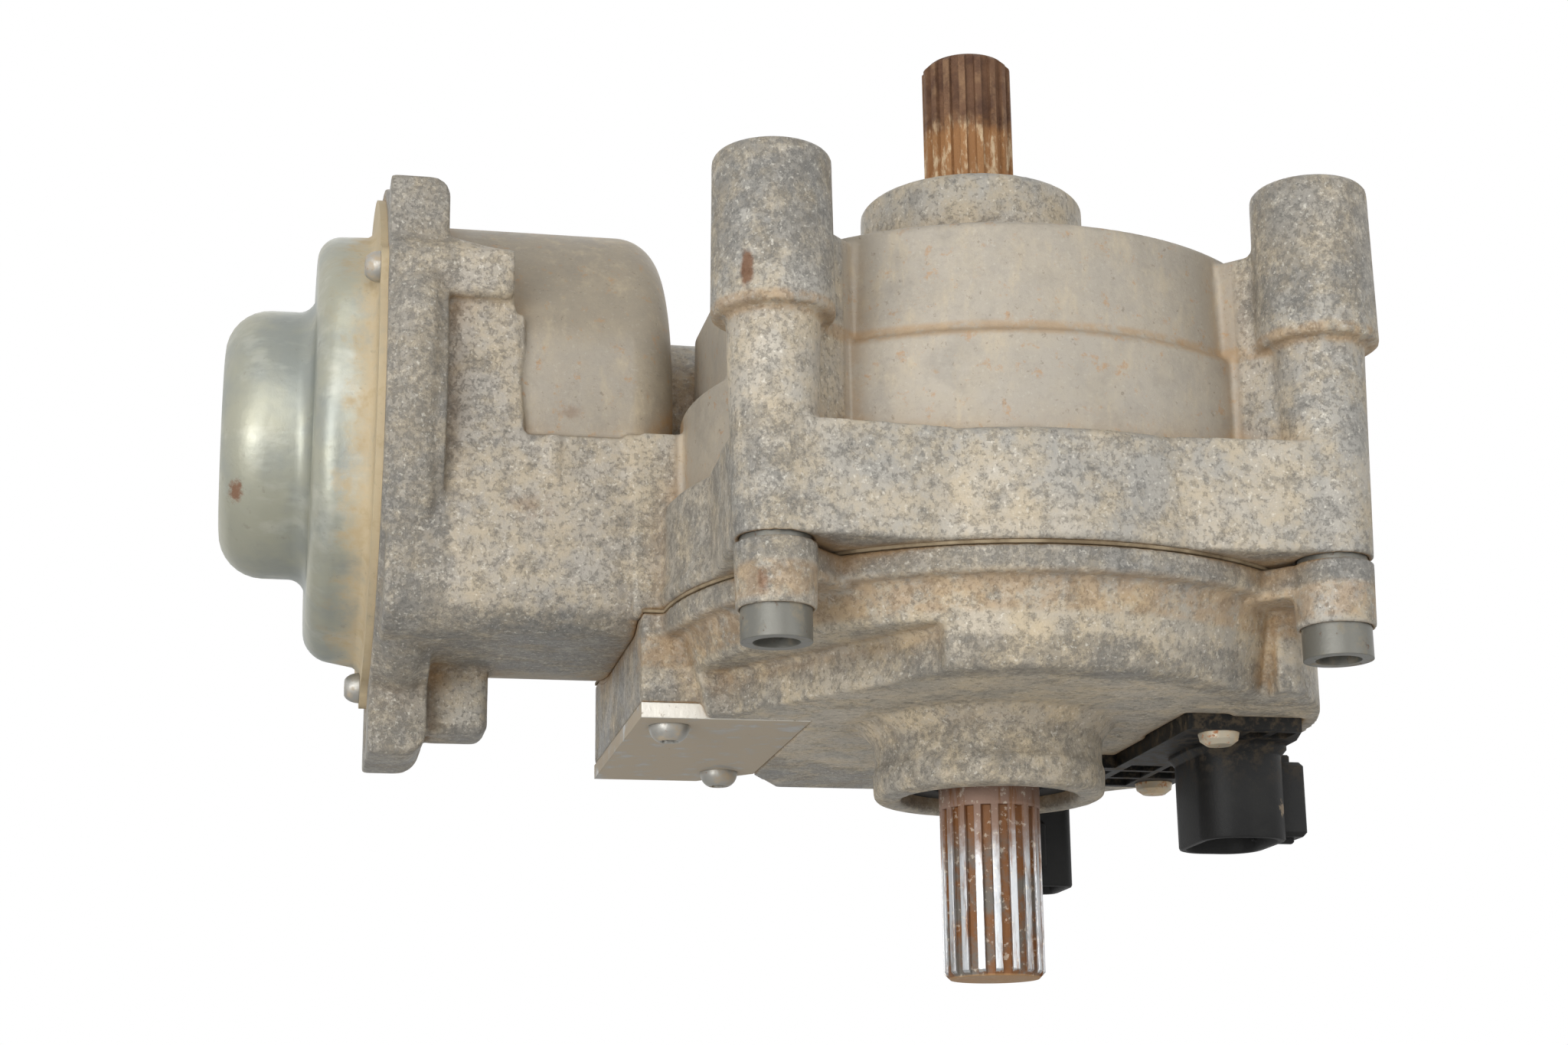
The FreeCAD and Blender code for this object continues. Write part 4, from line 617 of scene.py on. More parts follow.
@dataclass(frozen=True)
class DirtySteel(Finish):
    """Plated steel under dust and rust, on some pieces with a bare front edge that carries a
    painted highlight.

    Attributes:
        steel: Colour of the plating.
        dust: Colour of the dust.
        rust: Colour of the rust.
        dusty: How much of it is dusty, from 0 to 1.
        rusty: How much of it is rusty, from 0 to 1.
        highlight_front: Y in millimetres in front of which the bare edge carries a painted
            highlight, or None.
        shine: Metallic share of the clean plating.
        edge: Near-white colour of the bare edge's painted highlight.
    """

    steel: Colour = srgb(168, 166, 160)
    dust: Colour = srgb(178, 158, 128)
    rust: Colour = srgb(138, 90, 50)
    dusty: float = 0.5
    rusty: float = 0.2
    highlight_front: float | None = None
    shine: float = 0.75
    edge: Colour = srgb(226, 222, 212)

    def build(self) -> bpy.types.Material:
        """Make the material."""
        g = ShaderGraph(self.name)
        cloud = g.noise(6.0, 5.0, 0.65, 5.0)
        dust = g.step(cloud, 0.66 - 0.36 * self.dusty, 0.84 - 0.36 * self.dusty)
        tone = g.mix(dust * 0.8, self.steel, self.dust)
        fine = g.noise(1.8, 5.0, 0.7, 11.0)
        rust = g.step(fine, 0.72 - 0.24 * self.rusty, 0.82 - 0.24 * self.rusty)
        tone = g.mix(rust * 0.85, tone, self.rust)
        soiled = dust.largest(rust)
        if self.highlight_front is not None:
            # painted highlight: the bare front edge turns near-white
            front = g.step(g.axes()[1], self.highlight_front + 0.25, self.highlight_front)
            front = front * g.step(fine, 0.70, 0.58)
            tone = g.mix(front, tone, self.edge)
            soiled = soiled * (1.0 - front)
        return g.finish(Base_Color=tone, Metallic=(1.0 - soiled) * self.shine,
                        Roughness=0.36 + soiled * 0.36 + fine * 0.12,
                        Normal=g.bump(fine * 0.5 + cloud * 0.5, 0.14, g.soft_edges(0.3)))


@dataclass(frozen=True)
class BlackPlastic(Finish):
    """Matt black moulding with a faint sheen, rubbed marks and some dust.

    Attributes:
        black: Main colour.
        sheen: Colour of the greyer clouds.
        dust: Colour of dust.
        scuff: Colour of the scuff.
        dust_low: Height in millimetres above which dust gathers.
        dust_high: Height in millimetres at which it is thickest.
        scuff_at: Place of the scuff on the large socket.
    """

    black: Colour = srgb(17, 17, 17)
    sheen: Colour = srgb(27, 27, 26)
    dust: Colour = srgb(122, 106, 84)
    scuff: Colour = srgb(150, 132, 108)
    dust_low: float = 36.0
    dust_high: float = 49.0
    scuff_at: Triple = (60.0, -4.6, 34.0)

    def build(self) -> bpy.types.Material:
        """Make the material."""
        g = ShaderGraph(self.name)
        at = g.axes()
        cloud = g.noise(7.0, 4.0, 0.6, 4.0)
        tone = g.mix(g.step(cloud, 0.35, 0.7), self.black, self.sheen)
        dusty = g.step(at.z + cloud * 10.0, self.dust_low + 6.0, self.dust_high + 6.0)
        dusty = dusty * g.patches(0.45, 0.65, 2.6, 4.0, 0.7, 9.0)
        tone = g.mix(dusty * 0.35, tone, self.dust)
        broken = g.noise(1.2, 3.0, 0.6, 15.0)
        mark = g.step(at.away(self.scuff_at, (1.6, 2.5, 2.2)) + broken * 1.4, 1.5, 1.1)
        tone = g.mix(mark * 0.75, tone, self.scuff)
        grain = g.noise(0.5, 3.0, 0.6, 2.0)
        g.finish(Specular_IOR_Level=0.3)
        return g.finish(Base_Color=tone, Roughness=0.5 + cloud * 0.12 + dusty * 0.25,
                        Normal=g.bump(grain, 0.05, g.soft_edges(0.35)))


@dataclass(frozen=True)
class Moulded(Finish):
    """A material with two clouded tones and a fine grain.

    Attributes:
        main: Main colour.
        second: Colour of the clouds.
        rough: Roughness.
        metal: Metallic share.
        grain: Size of the grain in millimetres.
        depth: Depth of the grain in millimetres.
        brushed: Stretch of the grain per axis.
    """

    main: Colour
    second: Colour
    rough: float = 0.5
    metal: float = 0.0
    grain: float = 0.8
    depth: float = 0.05
    brushed: Triple = (1, 1, 1)

    def build(self) -> bpy.types.Material:
        """Make the material."""
        g = ShaderGraph(self.name)
        cloud = g.noise(9.0 * max(self.grain, 0.4), 4.0, 0.6, 6.0)
        fine = g.noise(self.grain, 3.0, 0.6, 13.0, self.brushed)
        tone = g.mix(g.step(cloud, 0.38, 0.64), self.main, self.second)
        tone = g.mix(g.step(fine, 0.58, 0.75) * 0.25, tone, self.second)
        g.finish(Metallic=self.metal)
        return g.finish(Base_Color=tone, Roughness=self.rough + (fine - 0.5) * 0.2,
                        Normal=g.bump(fine, self.depth, g.soft_edges(0.2)))


@dataclass(frozen=True)
class Laminated(Finish):
    """Stack of thin steel sheets seen edge-on, along X or Z.

    Attributes:
        axis: 0 for a stack along X and 2 for one along Z.
        sheet: Thickness of a pair of sheets in millimetres.
    """

    axis: int = 0
    sheet: float = 0.9

    def build(self) -> bpy.types.Material:
        """Make the material."""
        g = ShaderGraph(self.name)
        line = g.step(g.wave(g.axes()[self.axis], self.sheet / 2), 0.06, 0.2)
        cloud = g.noise(5.0, 4.0, 0.65, 3.0)
        tone = g.mix(line, srgb(70, 72, 76), srgb(128, 130, 134))
        tone = g.mix(g.step(cloud, 0.5, 0.72) * 0.5, tone, srgb(98, 88, 78))
        return g.finish(Base_Color=tone, Metallic=line * 0.6, Roughness=0.42 + cloud * 0.2,
                        Normal=g.bump(line, 0.08, g.soft_edges(0.2)))


@dataclass(frozen=True)
class Winding(Finish):
    """Enamelled copper wire lying side by side round each coil, with painted shade between the
    wires.

    Attributes:
        copper: Colour of the wire.
        shade: Colour of the painted shade between the wires.
        wire: Thickness of the wire in millimetres.
    """

    copper: Colour = srgb(190, 106, 58)
    shade: Colour = srgb(96, 44, 24)
    wire: float = 0.9

    def build(self) -> bpy.types.Material:
        """Make the material."""
        g = ShaderGraph(self.name)
        wave = g.wave(g.axes().from_worm(), self.wire / 2)
        round_top = g.step(wave, 0.0, self.wire / 2)
        # copper on the round tops of the wires, painted shade in the grooves between them
        tone = g.mix(round_top, self.shade, self.copper)
        tone = g.mix(g.patches(0.5, 0.7, 4.0, 4.0, 0.6, 7.0) * 0.4, tone, srgb(150, 76, 40))
        g.finish(Metallic=0.8)
        return g.finish(Base_Color=tone, Roughness=0.34 + round_top * -0.06,
                        Normal=g.bump(round_top, 0.25))


@dataclass(frozen=True)
class CircuitBoard(Finish):
    """Green lacquer over copper tracks, with bare pads.

    Attributes:
        lacquer: Colour of the board.
        track: Colour over a track.
        pitch: Distance between tracks in millimetres.
    """

    lacquer: Colour = srgb(22, 82, 46)
    track: Colour = srgb(38, 112, 62)
    pitch: float = 3.2

    def build(self) -> bpy.types.Material:
        """Make the material."""
        g = ShaderGraph(self.name)
        x, y, _ = g.axes()
        swing = g.noise(14.0, 1.0, 0.4, 5.0) * 10.0
        lines = g.step(g.wave(x + swing, self.pitch / 2), 0.75, 0.6)
        track = lines * g.step(g.wave(y, self.pitch), 0.5, 0.7)
        tone = g.mix(track, self.lacquer, self.track)
        g.finish(Coat_Roughness=0.2)
        return g.finish(Base_Color=tone, Roughness=0.36 + track * 0.08,
                        Coat_Weight=track * -0.2 + 0.5, Normal=g.bump(track, 0.05))


class Treatment(Enum):
    """The finishes that the unit's pieces wear."""

    CASTING = CastAluminium("cast_aluminium")
    INPUT = RustedSteel("rusted_steel")
    OUTPUT = WornSpline("worn_spline")
    ZINC = ZincPressing("zinc_pressing")
    # the plate's bare front edge gets a painted highlight
    PLATE = DirtySteel("plate_steel", dust=srgb(176, 160, 136), dusty=0.95, rusty=0.2,
                       highlight_front=-0.6)
    SLEEVE = DirtySteel("sleeve_steel", srgb(112, 111, 104), srgb(142, 132, 112),
                        srgb(96, 70, 46), 0.45, 0.45, shine=0.4)
    SCREW = DirtySteel("screw_steel", dusty=0.55, rusty=0.4)
    RUSTED_SCREW = DirtySteel("rusted_screw", steel=srgb(186, 176, 156), dust=srgb(206, 182, 146),
                              rust=srgb(176, 104, 50), dusty=0.6, rusty=0.75, shine=0.3)
    BARE_CAST = Moulded("bare_casting", srgb(176, 176, 172), srgb(150, 150, 146), 0.45, 0.7, 1.6,
                        0.2)
    STEEL = Moulded("machined_steel", srgb(172, 172, 170), srgb(146, 145, 142), 0.32, 0.9, 0.6,
                    0.04, (1.0, 1.0, 0.2))
    BEARING = Moulded("ground_steel", srgb(206, 206, 208), srgb(182, 182, 186), 0.2, 1.0, 0.5, 0.01)
    SEALANT = Moulded("dusty_sealant", srgb(150, 134, 108), srgb(112, 96, 72), 0.85, 0.0, 0.8, 0.15)
    RUBBER = Moulded("seal_rubber", srgb(26, 25, 24), srgb(44, 42, 39), 0.7, 0.0, 0.7, 0.06)
    POLYMER = Moulded("gear_polymer", srgb(214, 200, 160), srgb(196, 178, 134), 0.42, 0.0, 0.9,
                      0.04)
    MAGNET = Moulded("magnet_coating", srgb(92, 95, 100), srgb(70, 72, 78), 0.38, 0.5, 1.2, 0.06)
    COMPONENT = Moulded("component_black", srgb(38, 38, 40), srgb(58, 58, 60), 0.5, 0.0, 0.6, 0.03)
    TIN = Moulded("tinned_brass", srgb(206, 202, 190), srgb(180, 172, 150), 0.3, 0.9, 0.7, 0.02)
    COPPER = Moulded("bare_copper", srgb(200, 118, 74), srgb(160, 84, 50), 0.34, 0.9, 0.9, 0.03)
    CORE = Laminated("core_sheets", 0)
    RING = Laminated("ring_sheets", 2)
    WINDING = Winding("winding")
    BLACK = BlackPlastic("black_plastic")
    BOARD = CircuitBoard("board_lacquer")


class Wardrobe:
    """Builds each finish once and hands out its material."""

    def __init__(self) -> None:
        """Start with no material built."""
        self._built: dict[Treatment, bpy.types.Material] = {}

    def material(self, treatment: Treatment) -> bpy.types.Material:
        """Material of a treatment."""
        if treatment not in self._built:
            self._built[treatment] = treatment.value.build()
        return self._built[treatment]

    def dress(self, obj: bpy.types.Object, treatment: Treatment) -> None:
        """Give an object one material.

        Args:
            obj: Object to dress.
            treatment: Its finish.
        """
        obj.data.materials.clear()
        obj.data.materials.append(self.material(treatment))


# Meshes

def grid_faces(rows: int, columns: int, wrap: bool) -> np.ndarray:
    """Quads between neighbouring rows and columns of a grid of points.

    Args:
        rows: Number of rows.
        columns: Number of points in a row, which closes on itself.
        wrap: Whether the last row joins the first.

    Returns:
        One row of four point numbers per face.
    """
    row = np.arange(rows if wrap else rows - 1)[:, None]
    column = np.arange(columns)[None, :]
    above = (row + 1) % rows
    beside = (column + 1) % columns
    corners = (row * columns + column, row * columns + beside,
               above * columns + beside, above * columns + column)
    return np.stack(np.broadcast_arrays(*corners), -1).reshape(-1, 4)


@dataclass
class Skin:
    """Closed surface as points in millimetres and faces.

    Attributes:
        points: One row of X, Y and Z per point.
        faces: Lists of point numbers.
    """

    points: np.ndarray
    faces: list

    @classmethod
    def of_rings(cls, rings: np.ndarray, wrap: bool = False) -> "Skin":
        """Surface through a stack of closed rings, with flat ends or joined into a loop.

        Args:
            rings: Array of ring, point and coordinate.
            wrap: Whether the last ring joins the first.

        Returns:
            The surface.
        """
        count, around = rings.shape[:2]
        faces = grid_faces(count, around, wrap).tolist()
        if not wrap:
            faces.append(list(range(around))[::-1])
            faces.append(list(range((count - 1) * around, count * around)))
        return cls(rings.reshape(-1, 3), faces)

    @classmethod
    def turned(cls, profile: list[tuple[float, float]], at: Triple,
               along: str = "Z", steps: int = 96, wrap: bool = False) -> "Skin":
        """Surface of revolution: radius times the cosine and sine of the angle, at each height.

        Args:
            profile: Radius and height of each corner.
            at: Point on the axis at height zero.
            along: Axis, X or Z.
            steps: Points around.
            wrap: Whether the profile is a closed loop, as a tube's is.

        Returns:
            The surface.
        """
        radius, height = np.array(profile, float).T
        angle = np.linspace(0, 2 * np.pi, steps, endpoint=False)
        u = radius[:, None] * np.cos(angle)
        v = radius[:, None] * np.sin(angle)
        w = np.broadcast_to(height[:, None], u.shape)
        order = (u, v, w) if along == "Z" else (w, u, v)
        return cls.of_rings(np.stack(order, -1) + np.array(at, float), wrap)

    @classmethod
    def raised(cls, outline: np.ndarray, levels: list[tuple[float, float]],
               wrap: bool = False) -> "Skin":
        """Upright solid whose outline is drawn in by an inset at each height.

        Args:
            outline: X and Y of the plan's corners, anticlockwise.
            levels: Height and inset of each ring.
            wrap: Whether the last ring joins the first.

        Returns:
            The surface.
        """
        rings = [np.column_stack([inset_plan(outline, inset), np.full(len(outline), height)])
                 for height, inset in levels]
        return cls.of_rings(np.array(rings), wrap)

    def joined(self, *others: "Skin") -> "Skin":
        """This surface and others as one mesh of separate shells."""
        points, faces = [self.points], list(self.faces)
        start = len(self.points)
        for other in others:
            points.append(other.points)
            faces += [[corner + start for corner in face] for face in other.faces]
            start += len(other.points)
        return Skin(np.concatenate(points), faces)

    def mesh(self, name: str) -> bpy.types.Mesh:
        """Mesh in metres with its normals turned outwards."""
        made = bpy.data.meshes.new(name)
        made.from_pydata((self.points * MM).tolist(), [], self.faces)
        made.validate()
        tidy = bmesh.new()
        tidy.from_mesh(made)
        bmesh.ops.remove_doubles(tidy, verts=tidy.verts, dist=1e-6)
        bmesh.ops.recalc_face_normals(tidy, faces=tidy.faces)
        tidy.to_mesh(made)
        tidy.free()
        return made


def inset_plan(outline: np.ndarray, inset: float) -> np.ndarray:
    """Plan moved inwards by an inset along the mean normal of the sides at each corner."""
    ahead = np.roll(outline, -1, 0) - np.roll(outline, 1, 0)
    ahead /= np.linalg.norm(ahead, axis=1, keepdims=True)
    return outline + np.column_stack([-ahead[:, 1], ahead[:, 0]]) * inset


def oblong(middle: tuple[float, float], width: float, length: float, corner: float,
           steps: int = 8) -> np.ndarray:
    """Rectangle with round corners, anticlockwise: a quarter circle about each corner's centre.

    Args:
        middle: Centre in millimetres.
        width: Size along X.
        length: Size along Y.
        corner: Radius of the corners.
        steps: Points on each corner less one.

    Returns:
        X and Y of each point.
    """
    quarter = np.linspace(0, np.pi / 2, steps + 1)
    arcs = []
    for turn, (sx, sy) in enumerate(((1, 1), (-1, 1), (-1, -1), (1, -1))):
        swing = quarter + turn * np.pi / 2
        arcs.append(np.column_stack([
            middle[0] + sx * (width / 2 - corner) + corner * np.cos(swing),
            middle[1] + sy * (length / 2 - corner) + corner * np.sin(swing)]))
    return np.concatenate(arcs)


def block(low: Triple, high: Triple,
          edge: float = 0.6) -> Skin:
    """Upright box with round corners and bevelled top and bottom edges."""
    plan = oblong(((low[0] + high[0]) / 2, (low[1] + high[1]) / 2), high[0] - low[0],
                  high[1] - low[1], edge, 3)
    return Skin.raised(plan, [(low[2], edge * 0.7), (low[2] + edge * 0.7, 0.0),
                              (high[2] - edge * 0.7, 0.0), (high[2], edge * 0.7)])


def leaning_block(low: Triple, high: Triple,
                  lean: float) -> Skin:
    """Box whose right side leans out towards the foot by a distance in millimetres."""
    rings = [[(low[0], low[1], z), (right, low[1], z), (right, high[1], z), (low[0], high[1], z)]
             for z, right in ((low[2], high[0] + lean), (high[2], high[0]))]
    return Skin.of_rings(np.array(rings, float))


def add_object(name: str, mesh: bpy.types.Mesh) -> bpy.types.Object:
    """Object at the origin that holds a mesh."""
    obj = bpy.data.objects.new(name, mesh)
    bpy.context.scene.collection.objects.link(obj)
    return obj


def smooth(obj: bpy.types.Object, angle: float = 35.0) -> None:
    """Smooth shading with edges sharper than an angle in degrees kept sharp."""
    obj.data.polygons.foreach_set("use_smooth", [True] * len(obj.data.polygons))
    obj.data.set_sharp_from_angle(angle=math.radians(angle))


@dataclass
class Assembly:
    """A group of pieces that move with one body.

    Attributes:
        wardrobe: Where the materials come from.
        body: Name of the body that carries the pieces.
    """

    wardrobe: Wardrobe
    body: str = "housing"

    def place(self, name: str, mesh: bpy.types.Mesh, treatment: Treatment, slot: str,
              *nodes: str, angle: float = 35.0) -> bpy.types.Object:
        """Add a finished piece in place of CAD nodes.

        Args:
            name: Name of the piece.
            mesh: Its mesh.
            treatment: Its finish.
            slot: Name of a material slot; not used.
            nodes: CAD nodes that it stands for.
            angle: Edges sharper than this many degrees stay sharp.

        Returns:
            The piece.
        """
        obj = add_object(name, mesh)
        smooth(obj, angle)
        self.wardrobe.dress(obj, treatment)
        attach(obj, self.body)
        if nodes:
            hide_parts(*nodes)
        log.info("%s: %d faces", name, len(obj.data.polygons))
        return obj

    def dress(self, treatment: Treatment, *nodes: str) -> None:
        """Give CAD nodes a finish."""
        for node in nodes:
            self.wardrobe.dress(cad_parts[node], treatment)


@dataclass
class Castings(Assembly):
    """The two castings: the CAD solids with what the pattern maker adds, given cast corners.

    Attributes:
        grid: Size of the remeshing grid in millimetres.
        rounds: Number of smoothing passes.
        most: Most triangles in one casting.
        boss_low: Lower corner of the box in which the flange's upper boss is pressed down.
        boss_high: Upper corner of that box.
        boss_top: Height that the boss gets.
    """

    grid: float = 0.62
    coarse: float = 1.0
    rounds: int = 5
    most: int = 190000
    boss_low: Triple = (-108.5, -8.0, 144.5)
    boss_high: Triple = (-80.0, 6.0, 149.5)
    boss_top: float = 144.7

    def press_boss(self, mesh: bpy.types.Mesh) -> None:
        """Press the points of the flange's upper boss down to its cast height.

        Args:
            mesh: Mesh of the housing.
        """
        points = np.empty(len(mesh.vertices) * 3)
        mesh.vertices.foreach_get("co", points)
        points = points.reshape(-1, 3) / MM
        inside = np.all((points > self.boss_low) & (points < self.boss_high), axis=1)
        points[inside, 2] = np.minimum(points[inside, 2], self.boss_top)
        mesh.vertices.foreach_set("co", (points * MM).ravel())

    def cast(self, node: str, extra: Skin) -> bpy.types.Mesh:
        """Cast-looking mesh: the node's solid and the extra shells merged on a fine grid, smoothed
        so that every corner gets a small radius, and thinned.

        Args:
            node: CAD node to start from.
            extra: Shells to merge with it.

        Returns:
            The finished mesh.
        """
        joined = bmesh.new()
        joined.from_mesh(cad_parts[node].data)
        bmesh.ops.remove_doubles(joined, verts=joined.verts, dist=1e-6)
        mesh = bpy.data.meshes.new(node + "_rough")
        joined.to_mesh(mesh)
        if node == "main_housing":
            self.press_boss(mesh)
            joined.clear()
            joined.from_mesh(mesh)
        joined.from_mesh(extra.mesh(node + "_extra"))
        joined.to_mesh(mesh)
        joined.free()
        rough = add_object(node + "_rough", mesh)
        remesh = rough.modifiers.new("grid", "REMESH")
        remesh.mode = "VOXEL"
        remesh.voxel_size = self.grid * MM
        relax = rough.modifiers.new("relax", "SMOOTH")
        relax.factor = 0.5
        relax.iterations = self.rounds
        first = bpy.data.meshes.new_from_object(
            rough.evaluated_get(bpy.context.evaluated_depsgraph_get()))
        rough.modifiers.clear()
        rough.data = first
        thin = rough.modifiers.new("thin", "DECIMATE")
        thin.ratio = min(1.0, self.most / (2.0 * len(first.polygons)))
        done = bpy.data.meshes.new_from_object(
            rough.evaluated_get(bpy.context.evaluated_depsgraph_get()))
        bpy.data.objects.remove(rough)
        done.name = node + "_cast"
        return done

    def housing_extra(self) -> Skin:
        """Cast shapes on the housing: the blocks behind the flange that join its screw bosses to
        the gusset and the ear, the strips on the neck, the lip under the case and the rolled edge
        of the flange, whose radius swells and shrinks a little with the angle."""
        blocks = [block((-109.5, -2.7, 134.6), (-95.8, 9.0, 144.6), 1.6),
                  leaning_block((-109.5, 0.5, 106.0), (-95.6, 9.0, 135.4), 2.3),
                  block((-109.5, 42.6, 54.0), (-95.9, 57.4, 69.0), 2.2),
                  block((-88.6, -0.5, 98.0), (-86.0, 3.0, 107.2), 0.8),
                  block((-71.6, -0.9, 70.0), (-69.4, 3.0, 106.0), 0.7),
                  block((-73.5, -0.2, 97.0), (-62.0, 4.0, 107.9), 0.9)]
        angle = np.linspace(0, 2 * np.pi, 128, endpoint=False)
        swell = 0.55 * np.sin(5 * angle + 0.6) + 0.3 * np.sin(11 * angle)
        profile = np.array([(52.0, -110.6), (56.2, -110.6), (57.6, -112.0), (58.1, -115.0),
                            (57.6, -118.2), (56.0, -119.6), (52.0, -119.6)])
        radius = profile[:, :1] + swell[None, :] * (profile[:, :1] > 53.0)
        rings = np.stack([np.broadcast_to(profile[:, 1:], radius.shape),
                          WORM_Y + radius * np.cos(angle), WORM_Z + radius * np.sin(angle)], -1)
        lip = Skin.turned([(60.0, 71.9), (65.9, 71.9), (66.3, 72.6), (66.2, 75.0), (65.3, 76.2),
                           (60.0, 76.2)], (0, 0, 0), "Z", 160, True)
        return Skin.of_rings(rings, True).joined(lip, *blocks)

    def cover_extra(self) -> Skin:
        """Cast shapes on the cover: two rings round the bearing mouth."""
        mouth = Skin.turned([(18.0, 36.0), (22.1, 35.2), (22.9, 36.0), (23.1, 40.6), (22.3, 41.6),
                             (18.0, 41.6)], (0, 0, 0), "Z", 96, True)
        root = Skin.turned([(18.0, 46.2), (22.6, 46.2), (24.4, 48.4), (26.0, 51.0),
                            (18.0, 51.0)], (0, 0, 0), "Z", 96, True)
        return mouth.joined(root)

    def build(self) -> None:
        """Make both castings."""
        self.place("housing_casting", self.cast("main_housing", self.housing_extra()),
                   Treatment.CASTING, "cast_aluminium", "main_housing", angle=180.0)
        self.place("cover_casting", self.cast("lower_cover", self.cover_extra()),
                   Treatment.CASTING, "cast_aluminium", "lower_cover", angle=180.0)


@dataclass
class EndCover(Assembly):
    """Pressed cover over the motor's end: a dish with a smaller dish on it, a flat rim with three
    screw ears, and a swelling beside each ear.

    Attributes:
        face: Distance of the flange's face from the shaft.
        thick: Thickness of the sheet.
        rim_r: Radius of the rim.
        step_r: Radius of the large dish.
        step_depth: Depth of the large dish.
        cap_r: Radius of the small dish.
        depth: Depth of the small dish.
        ear_pitch_r: Radius on which the ears' screws stand.
        ear_r: Radius of an ear.
        ears: Angles of the ears in degrees from the rear.
        swelling: Angle of the squarish swelling between two ears.
    """

    face: float = 121.0
    thick: float = 1.5
    rim_r: float = 53.5
    step_r: float = 45.2
    step_depth: float = 13.5
    cap_r: float = 28.7
    depth: float = 32.0
    ear_pitch_r: float = EAR_PITCH_R
    ear_r: float = 4.4
    ears: tuple[float, ...] = EAR_ANGLES
    swelling: float = 216.0

    def profile(self, inset: float) -> np.ndarray:
        """Radius and depth from the rim to the middle, with each bend a run of arc points.

        Args:
            inset: Distance inside the outer skin.

        Returns:
            One row per point.
        """
        def bend(radius: float, depth: float, size: float, start: float, stop: float) -> list:
            """Arc of a bend about its centre."""
            swing = np.radians(np.linspace(start, stop, 9))
            return list(zip(radius + size * np.cos(swing), depth + size * np.sin(swing)))

        step_z = self.step_depth - inset
        cap_z = self.depth - inset
        foot = [(self.rim_r, self.thick - inset), (self.step_r + 2.6 + inset, self.thick - inset)]
        foot += bend(self.step_r + 2.6, self.thick - inset + 2.6, 2.6, 270, 180)[2:7]
        rows = foot + bend(self.step_r - inset - 5.0, step_z - 5.0, 5.0, 0, 86)
        rows += bend(self.cap_r - inset + 3.6, step_z + 3.6, 3.6, 266, 181)
        rows += bend(self.cap_r - inset - 9.5, cap_z - 9.5, 9.5, 0, 90)
        rows += [(12.0, cap_z + 0.12), (4.0, cap_z + 0.16)]
        return np.array(rows)

    def skin(self, inset: float, steps: int = 180) -> np.ndarray:
        """Rings of the skin: each profile point's radius swells near an ear by a bell curve of
        the angle, on the rim as far as the ear's edge and on the large dish by a few millimetres.

        Args:
            inset: Distance inside the outer skin.
            steps: Points around.

        Returns:
            Array of ring, point and coordinate.
        """
        radius, depth = self.profile(inset).T
        angle = np.linspace(0, 2 * np.pi, steps, endpoint=False)
        off = np.array([np.angle(np.exp(1j * (angle - math.radians(ear)))) for ear in self.ears])
        near = np.min(np.abs(off), 0)
        reach = self.ear_pitch_r * np.cos(near) + np.sqrt(
            np.maximum(self.ear_r ** 2 - (self.ear_pitch_r * np.sin(near)) ** 2, 0.0))
        in_ear = (self.ear_pitch_r * np.sin(near)) < self.ear_r
        rim = np.where(in_ear, np.maximum(reach, self.rim_r), self.rim_r)
        bell = np.exp(-(near / 0.16) ** 2)
        low_side = np.angle(np.exp(1j * (angle - math.radians(self.swelling))))
        bell = bell + 0.5 * np.exp(-(low_side / 0.2) ** 4)
        on_rim = (radius > self.rim_r - 0.01)[:, None]
        level = np.clip((self.step_depth - depth) / self.step_depth, 0, 1) ** 0.6
        swell = 3.0 * bell[None, :] * level[:, None] * (radius < self.rim_r - 0.01)[:, None]
        swell = swell * (radius > self.cap_r + 4.0)[:, None]
        r = np.where(on_rim, rim[None, :], radius[:, None] + swell)
        x = -(self.face + depth)[:, None] * np.ones_like(r)
        return np.stack([x, WORM_Y + r * np.cos(angle), WORM_Z + r * np.sin(angle)], -1)

    def build(self) -> None:
        """Make the cover from its outer and inner skins, joined at the rim."""
        outer, inner = self.skin(0.0), self.skin(self.thick)
        rings = np.concatenate([inner[::-1], outer])
        self.place("end_cover_pressing", Skin.of_rings(rings).mesh("end_cover_pressing"),
                   Treatment.ZINC, "zinc_steel", "motor_end_cover", angle=50.0)


